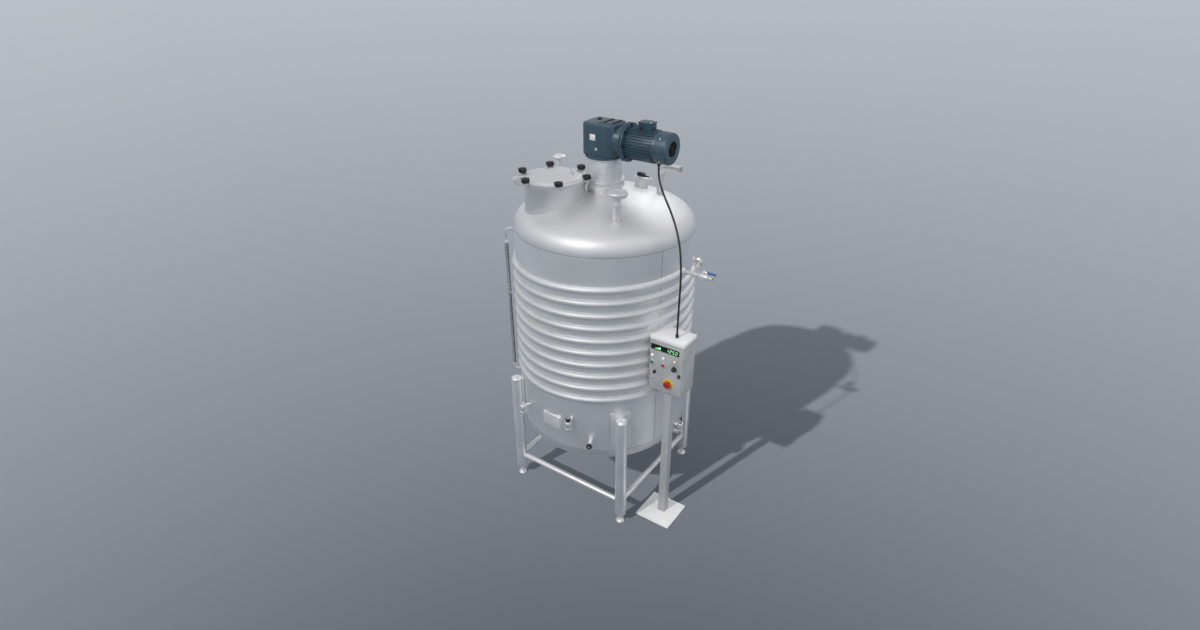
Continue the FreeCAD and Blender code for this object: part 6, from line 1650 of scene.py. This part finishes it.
def makeStopMushroom():
    place = onDoor(*doorSizes["stop"])
    disc = [(0.0122, 0.0), (0.0384, 0.0), (0.0384, 0.0028), (0.0376, 0.0034), (0.0122, 0.0034)]
    turnedPiece("stopDisc", disc, place, 72, "yellowDisc", "door")
    head = [(0, -0.006), (0.012, -0.006), (0.012, 0.019), (0.0225, 0.0196), (0.0262, 0.0212), (0.027, 0.0240),
            (0.0268, 0.0270), (0.0240, 0.0310), (0.0180, 0.0333), (0.0100, 0.0339), (0, 0.0340)]
    turnedPiece("stopMushroom", head, place, 64, "redCap", "estop", ("estop_button",))
    collar = [(0.0123, 0.0034), (0.0185, 0.0034), (0.0180, 0.0120), (0.0140, 0.0145), (0.0123, 0.0145)]
    turnedPiece("stopCollar", collar, place, 56, "knobPlastic", "door")
    print("stop mushroom made")


# x, y and the levels of each gland's base and free end
glandPlaces = ((0.805, -0.274, 1.705, 1.733), (0.445, 0.0, 2.834, 2.802))


def makeBoxDetails():
    lock = onDoor(*doorSizes["lock"])
    rim = [(0, 0), (0.0105, 0), (0.0105, 0.003), (0.009, 0.0045), (0.0062, 0.0045), (0.0062, 0.0025),
           (0, 0.0025)]
    barrel = latheMesh("lockBarrel", rim, lock, 40)
    key = hexMesh("lockKey", 0.0062, 0.0, 0.0042, lock)
    joinedPiece("doorLock", [barrel, key], "brightSteel", "door", width=0.0003)
    ends = []
    for x, y, base, end in glandPlaces:
        place = atSpot(x, y, base)
        if end < base:
            place = place @ Matrix.Rotation(math.pi, 4, "X")
        tall = abs(end - base)
        ends.append(hexMesh("glandHex", 0.0212, 0.0, tall * 0.36, place))
        neck = [(0.0074, 0), (0.0095, 0), (0.0095, tall * 0.5), (0.0074, tall * 0.5)]
        ends.append(latheMesh("glandNeck", neck, place, 32))
        rows = ((tall * 0.42, 0.95), (tall * 0.46, 1), (tall * 0.80, 1), (tall * 0.93, 0.90), (tall, 0.74))
        ends.append(lobedMesh("glandNut", 14, 0.0112, 0.0007, rows, place))
    joinedPiece("cableGlands", ends, "knobPlastic", "tank", ("cable_glands",), width=0.0003,
                limit=50)
    print("box details made")


standSizes = {"plate": 0.010, "weldInset": 0.0302, "post": (0.738, -0.210)}


def makeStand():
    copy = cadCopy("control_stand")
    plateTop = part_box("control_stand")[0].z + standSizes["plate"]
    finishPiece("standPost", sliceMesh(copy, plateTop + 0.0001, True), "postPaint", "tank",
                ("control_stand",), width=0.0012)
    low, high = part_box("control_stand")
    foot = blockMesh("standPlate", high.x - low.x, high.y - low.y, 0.002, 0, standSizes["plate"],
                     underMiddle(low, high))
    # the plate takes the paler copy of the post's paint: painted light on its top
    finishPiece("standPlate", foot, "lidPaint", "tank", width=0.0012)
    half = standSizes["weldInset"]
    centre = spotAt(*standSizes["post"], plateTop)
    corners = [(-half, -half), (half, -half), (half, half), (-half, half)]
    route = [centre + Vector((x, y, 0)) for x, y in alongCorners(corners)]
    weldPiece("postWeld", [route], 0.0035, "tank", finish="postPaint")
    print("stand made")


makeStand()
makeDisplay()
makeLampsAndButtons()
makeStopMushroom()
makeBoxDetails()


# Name plate rivets

plateSizes = {"angle": 268, "level": 0.879, "rivetFace": 0.6838, "lineFace": 0.6841, "rivetSide": 0.078,
              "rivetUp": 0.048}
plateLines = [(0, 0.0525, 0.164, 0.0014), (0, -0.0525, 0.164, 0.0014), (0.0815, 0, 0.0014, 0.105),
              (-0.0815, 0, 0.0014, 0.105)] + [(0, 0.030 - 0.015 * row, 0.130, 0.0007) for row in range(5)]


def onPlate(side, up, face):
    # a place on the name plate, with X pointing out of it
    degrees = plateSizes["angle"]
    here = facing(degrees, around(0, degrees, plateSizes["level"] + up))
    return here @ Matrix.Translation((face, side, 0))


def makePlateRivets():
    size = plateSizes
    rivets = []
    head = [(0, 0), (0.0036, 0), (0.0030, 0.0016), (0.0014, 0.0024), (0, 0.0026)]
    for side in (-size["rivetSide"], size["rivetSide"]):
        for up in (-size["rivetUp"], size["rivetUp"]):
            rivets.append(latheMesh("rivet", head, onPlate(side, up, size["rivetFace"]) @ lieAlongX, 20))
    joinedPiece("plateRivets", rivets, "brightSteel", "tank")
    lines = []
    for side, level, width, height in plateLines:
        place = onPlate(side, level, size["lineFace"]) @ standUp
        lines.append(blockMesh("line", width, height, 0.0003, 0, 0.0004, place))
    joinedPiece("plateLines", lines, "seamSteel", "tank")
    print("plate rivets made")


makePlateRivets()


# Lantern: a louvred cover over each of its two windows

coverPlate = {"radius": 0.124, "half": 15, "low": 2.700, "high": 2.780, "louvres": 4, "angles": (-62, 118),
              "firstLouvre": 0.017, "louvrePitch": 0.0135, "louvreHigh": 0.0045, "screwSide": 0.82,
              "screwInset": 0.006}


def curvedPlate(name, degrees, half, low, high, inner, outer, steps=14):
    # a plate rolled to a cylinder
    outline = []
    for radius, order in ((outer, range(steps + 1)), (inner, range(steps, -1, -1))):
        for step in order:
            turn = math.radians(degrees - half + 2 * half * step / steps)
            outline.append((radius * math.cos(turn), radius * math.sin(turn)))
    return prismMesh(name, outline, low, high, Matrix.Translation(tankAxis))


def makeLanternCovers():
    size = coverPlate
    inner = size["radius"] - 0.0005
    parts, screws = [], []
    head = [(0, 0), (0.0034, 0), (0.0030, 0.0012), (0.0016, 0.0020), (0, 0.0021)]
    for degrees in size["angles"]:
        parts.append(curvedPlate("plate", degrees, size["half"], size["low"], size["high"], inner,
                                 inner + 0.0023))
        for row in range(size["louvres"]):
            level = size["low"] + size["firstLouvre"] + row * size["louvrePitch"]
            parts.append(curvedPlate("louvre", degrees, size["half"] * 0.62, level,
                                     level + size["louvreHigh"], inner, inner + 0.0050))
        for side in (-size["screwSide"], size["screwSide"]):
            for level in (size["low"] + size["screwInset"], size["high"] - size["screwInset"]):
                place = facing(degrees + side * size["half"], tankAxis)
                place = place @ Matrix.Translation((inner + 0.0021, 0, level)) @ lieAlongX
                screws.append(latheMesh("screw", head, place, 16))
    joinedPiece("lanternCovers", parts, "barSteel", "tank", width=0.0004)
    joinedPiece("coverPins", screws, "brightSteel", "tank")
    print("lantern covers made")


makeLanternCovers()


# Motor cable

cableRoute = (
    (0.445, 0, 2.802),
    (0.445, 0, 2.742),
    (0.490, -0.034, 2.664),
    (0.566, -0.092, 2.606),
    (0.650, -0.158, 2.548),
    (0.726, -0.216, 2.468),
    (0.778, -0.254, 2.366),
    (0.802, -0.272, 2.248),
    (0.810, -0.278, 2.112),
    (0.806, -0.275, 1.976),
    (0.805, -0.274, 1.850),
    (0.805, -0.274, 1.733),
)
cableSizes = {"diameter": 0.014, "length": 1.267}


def makeCable():
    curve = bpy.data.curves.new("motorCable", "CURVE")
    curve.dimensions = "3D"
    spline = curve.splines.new("NURBS")
    spline.points.add(len(cableRoute) - 1)
    for point, place in zip(spline.points, cableRoute):
        point.co = (*(tankAxis + Vector(place)), 1)
    spline.order_u = 3
    spline.use_endpoint_u = True
    curve.resolution_u = 12
    curve.bevel_depth = cableSizes["diameter"] / 2
    curve.bevel_resolution = 6
    curve.materials.append(finishes["blackRubber"])
    cable = bpy.data.objects.new("motorCable", curve)
    scene.collection.objects.link(cable)
    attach(cable, "tank")
    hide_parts("motor_cable")


makeCable()
print("cable made")


# Floor, light and camera

cameraSizes = {"place": (2.7346, -3.9978, 4.1527), "down": 28.6054, "turn": 34.7746, "lens": 20.664}
# the floor: its size and level, its painted shade between a pale and a dark tone, the painted glow that lifts
# its shadows, the reach of its paler mirror images, and the lean of its shading
stageSizes = {"half": 400, "low": -0.02, "high": -0.0002, "dark": (0.064, 0.0745, 0.094),
              "pale": (0.292, 0.311, 0.342), "glow": 0.515, "near": 0.3, "edge": 3.05, "paler": 0.38,
              "full": 0.80, "turned": (-0.30, -0.78, 0.55)}
roomSizes = {"low": (0.50, 0.525, 0.57), "high": (0.70, 0.71, 0.72), "light": (0.50, 0.515, 0.54),
             "rise": 0.6}


suns = {  # where each comes from, its strength, its softness in degrees, and what it lights
    "frontSun": ((-0.30, -1.16, 1.0), 1.4, 1.2, "paint"),
    "floorSun": ((-0.30, -1.16, 1.0), 2.8, 1.2, "floor"),
    "steelSun": ((-0.06, -0.67, 0.74), 0.62, 2.0, "steel"),
}
softLights = {  # angle round the tank, height angle, distance, size, power, and what it lights
    "backLight": (101.7, 34.9, 6.5, 0.8, 32, "steel"),
    "rightLight": (9, -50, 6.0, 0.8, 7, "steel"),
    "rimLight": (15, 40, 6.0, 0.5, 5, "steel"),
    "sideLight": (-10, 12, 6.0, 2.0, 84, "paint"),
}


def makeStage():
    # the floor's tone follows the slant at which one fixed place, the photograph's viewpoint, sees it:
    # painted shade, darker near that place; only its mirror images stay paler near that place, a painted
    # reflection in the steel;
    # its own glow is painted light that lifts its shadows, and its shading leans to the sun
    half = stageSizes["half"]
    corners = [(-half, -half), (half, -half), (half, half), (-half, half)]
    floor = prismMesh("floor", corners, stageSizes["low"], stageSizes["high"])
    tree, shader = bareMaterial("floorTone", stageSizes["pale"], 0.0, 0.8)
    place = tree.nodes.new("ShaderNodeTexCoord")
    away = tree.nodes.new("ShaderNodeVectorMath")
    away.operation = "DISTANCE"
    eye = tankAxis + Vector(cameraSizes["place"])
    away.inputs[1].default_value = (eye.x, eye.y, 0)
    tree.links.new(place.outputs["Object"], away.inputs[0])
    reach = away.outputs["Value"]
    slant = mathNode(tree, "SQRT", mathNode(tree, "ADD", mathNode(tree, "MULTIPLY", reach, reach),
                                            eye.z * eye.z))
    lift = mathNode(tree, "DIVIDE", eye.z, slant)
    # darker where that place looks down more steeply, so darker near it: painted shade
    dark = remap(tree, lift, 0.0, stageSizes["full"], 0.0, 1.0)
    # in mirror images only, the floor is paler near that place: a painted reflection in the steel
    rays = tree.nodes.new("ShaderNodeLightPath")
    fade = remap(tree, reach, stageSizes["near"], stageSizes["edge"], stageSizes["paler"], 0.0)
    paler = mathNode(tree, "MULTIPLY", rays.outputs["Is Glossy Ray"], fade)
    darker = mathNode(tree, "MULTIPLY", dark, mathNode(tree, "SUBTRACT", 1.0, paler))
    tone = mixColours(tree, darker, stageSizes["pale"], stageSizes["dark"])
    tree.links.new(tone, shader.inputs["Base Color"])
    # the floor glows with its own tone: painted light that lifts its shadows, the shade under the tank most
    # of all
    tree.links.new(tone, shader.inputs["Emission Color"])
    shader.inputs["Emission Strength"].default_value = stageSizes["glow"]
    leaning = tree.nodes.new("ShaderNodeCombineXYZ")
    for axis, value in zip("XYZ", Vector(stageSizes["turned"]).normalized()):
        leaning.inputs[axis].default_value = value
    tree.links.new(leaning.outputs[0], shader.inputs["Normal"])
    linkPiece("floor", floor, "floorTone")


def makeWorld():
    # the pale room is seen by the camera and in metal and glass; everything else gets a plain light
    world = bpy.data.worlds.new("room")
    scene.world = world
    world.use_nodes = True
    tree = world.node_tree
    tree.nodes.clear()
    output = tree.nodes.new("ShaderNodeOutputWorld")
    seen = tree.nodes.new("ShaderNodeBackground")
    lit = tree.nodes.new("ShaderNodeBackground")
    rays = tree.nodes.new("ShaderNodeLightPath")
    blend = tree.nodes.new("ShaderNodeMixShader")
    place = tree.nodes.new("ShaderNodeTexCoord")
    split = tree.nodes.new("ShaderNodeSeparateXYZ")
    tree.links.new(place.outputs["Generated"], split.inputs[0])
    ramp = remap(tree, split.outputs["Z"], 0.0, roomSizes["rise"], 0.0, 1.0)
    tree.links.new(mixColours(tree, ramp, roomSizes["low"], roomSizes["high"]), seen.inputs["Color"])
    lit.inputs["Color"].default_value = (*roomSizes["light"], 1)
    mirrored = mathNode(tree, "MAXIMUM", rays.outputs["Is Glossy Ray"], rays.outputs["Is Transmission Ray"])
    shown = mathNode(tree, "MAXIMUM", rays.outputs["Is Camera Ray"], mirrored)
    tree.links.new(shown, blend.inputs[0])
    tree.links.new(lit.outputs[0], blend.inputs[1])
    tree.links.new(seen.outputs[0], blend.inputs[2])
    tree.links.new(blend.outputs[0], output.inputs["Surface"])


def litPieces():
    # sets of pieces, so that the brushed steel gets a gentler sun than the paint, and the floor its own
    sets = {name: bpy.data.collections.new(name + "Pieces") for name in ("steel", "paint", "floor")}
    for piece in scene.objects:
        if piece.type in ("MESH", "CURVE"):
            coats = [slot.material
                     for slot in piece.material_slots if slot.material and slot.material.use_nodes]
            shaders = [node for coat in coats
                       for node in coat.node_tree.nodes if node.type == "BSDF_PRINCIPLED"]
            metal = bool(shaders) and shaders[0].inputs["Metallic"].default_value > 0.7
            floor = any(coat.name == "floorTone" for coat in coats)
            sets["floor" if floor else "steel" if metal else "paint"].objects.link(piece)
    return sets


def addLamp(name, light, turned, receivers, place=(0, 0, 0)):
    lamp = bpy.data.objects.new(name, light)
    scene.collection.objects.link(lamp)
    lamp.location = place
    lamp.rotation_euler = turned.to_track_quat("-Z", "Y").to_euler()
    lamp.light_linking.receiver_collection = receivers


def addSoftLight(name, side, height, distance, size, power, receivers):
    # a square lamp at an angle round the tank and a height angle, looking at the dome
    aim = tankAxis + Vector((0, 0, 2.2))
    turn, lift = math.radians(side), math.radians(height)
    away = Vector((math.cos(turn) * math.cos(lift), math.sin(turn) * math.cos(lift), math.sin(lift)))
    light = bpy.data.lights.new(name, "AREA")
    light.size = size
    light.energy = power
    light.use_shadow = False
    addLamp(name, light, -away, receivers, aim + distance * away)


def addSun(name, source, strength, softness, receivers):
    light = bpy.data.lights.new(name, "SUN")
    light.energy = strength
    light.angle = math.radians(softness)
    light.color = (1.0, 0.985, 0.96)
    addLamp(name, light, -Vector(source), receivers)


def makeCamera():
    camera = bpy.data.cameras.new("photoView")
    camera.lens = cameraSizes["lens"]
    camera.sensor_width = 36
    view = bpy.data.objects.new("photoView", camera)
    scene.collection.objects.link(view)
    view.location = tankAxis + Vector(cameraSizes["place"])
    view.rotation_euler = (math.radians(90 - cameraSizes["down"]), 0, math.radians(cameraSizes["turn"]))
    scene.camera = view


makeStage()
makeWorld()
sets = litPieces()
for name, (source, strength, softness, receivers) in suns.items():
    addSun(name, source, strength, softness, sets[receivers])
for name, (side, height, distance, size, power, receivers) in softLights.items():
    addSoftLight(name, side, height, distance, size, power, sets[receivers])
makeCamera()
print("floor, room, lights and camera made")
scene.view_settings.view_transform = "Standard"
for part in spareParts:
    bpy.data.objects.remove(part)
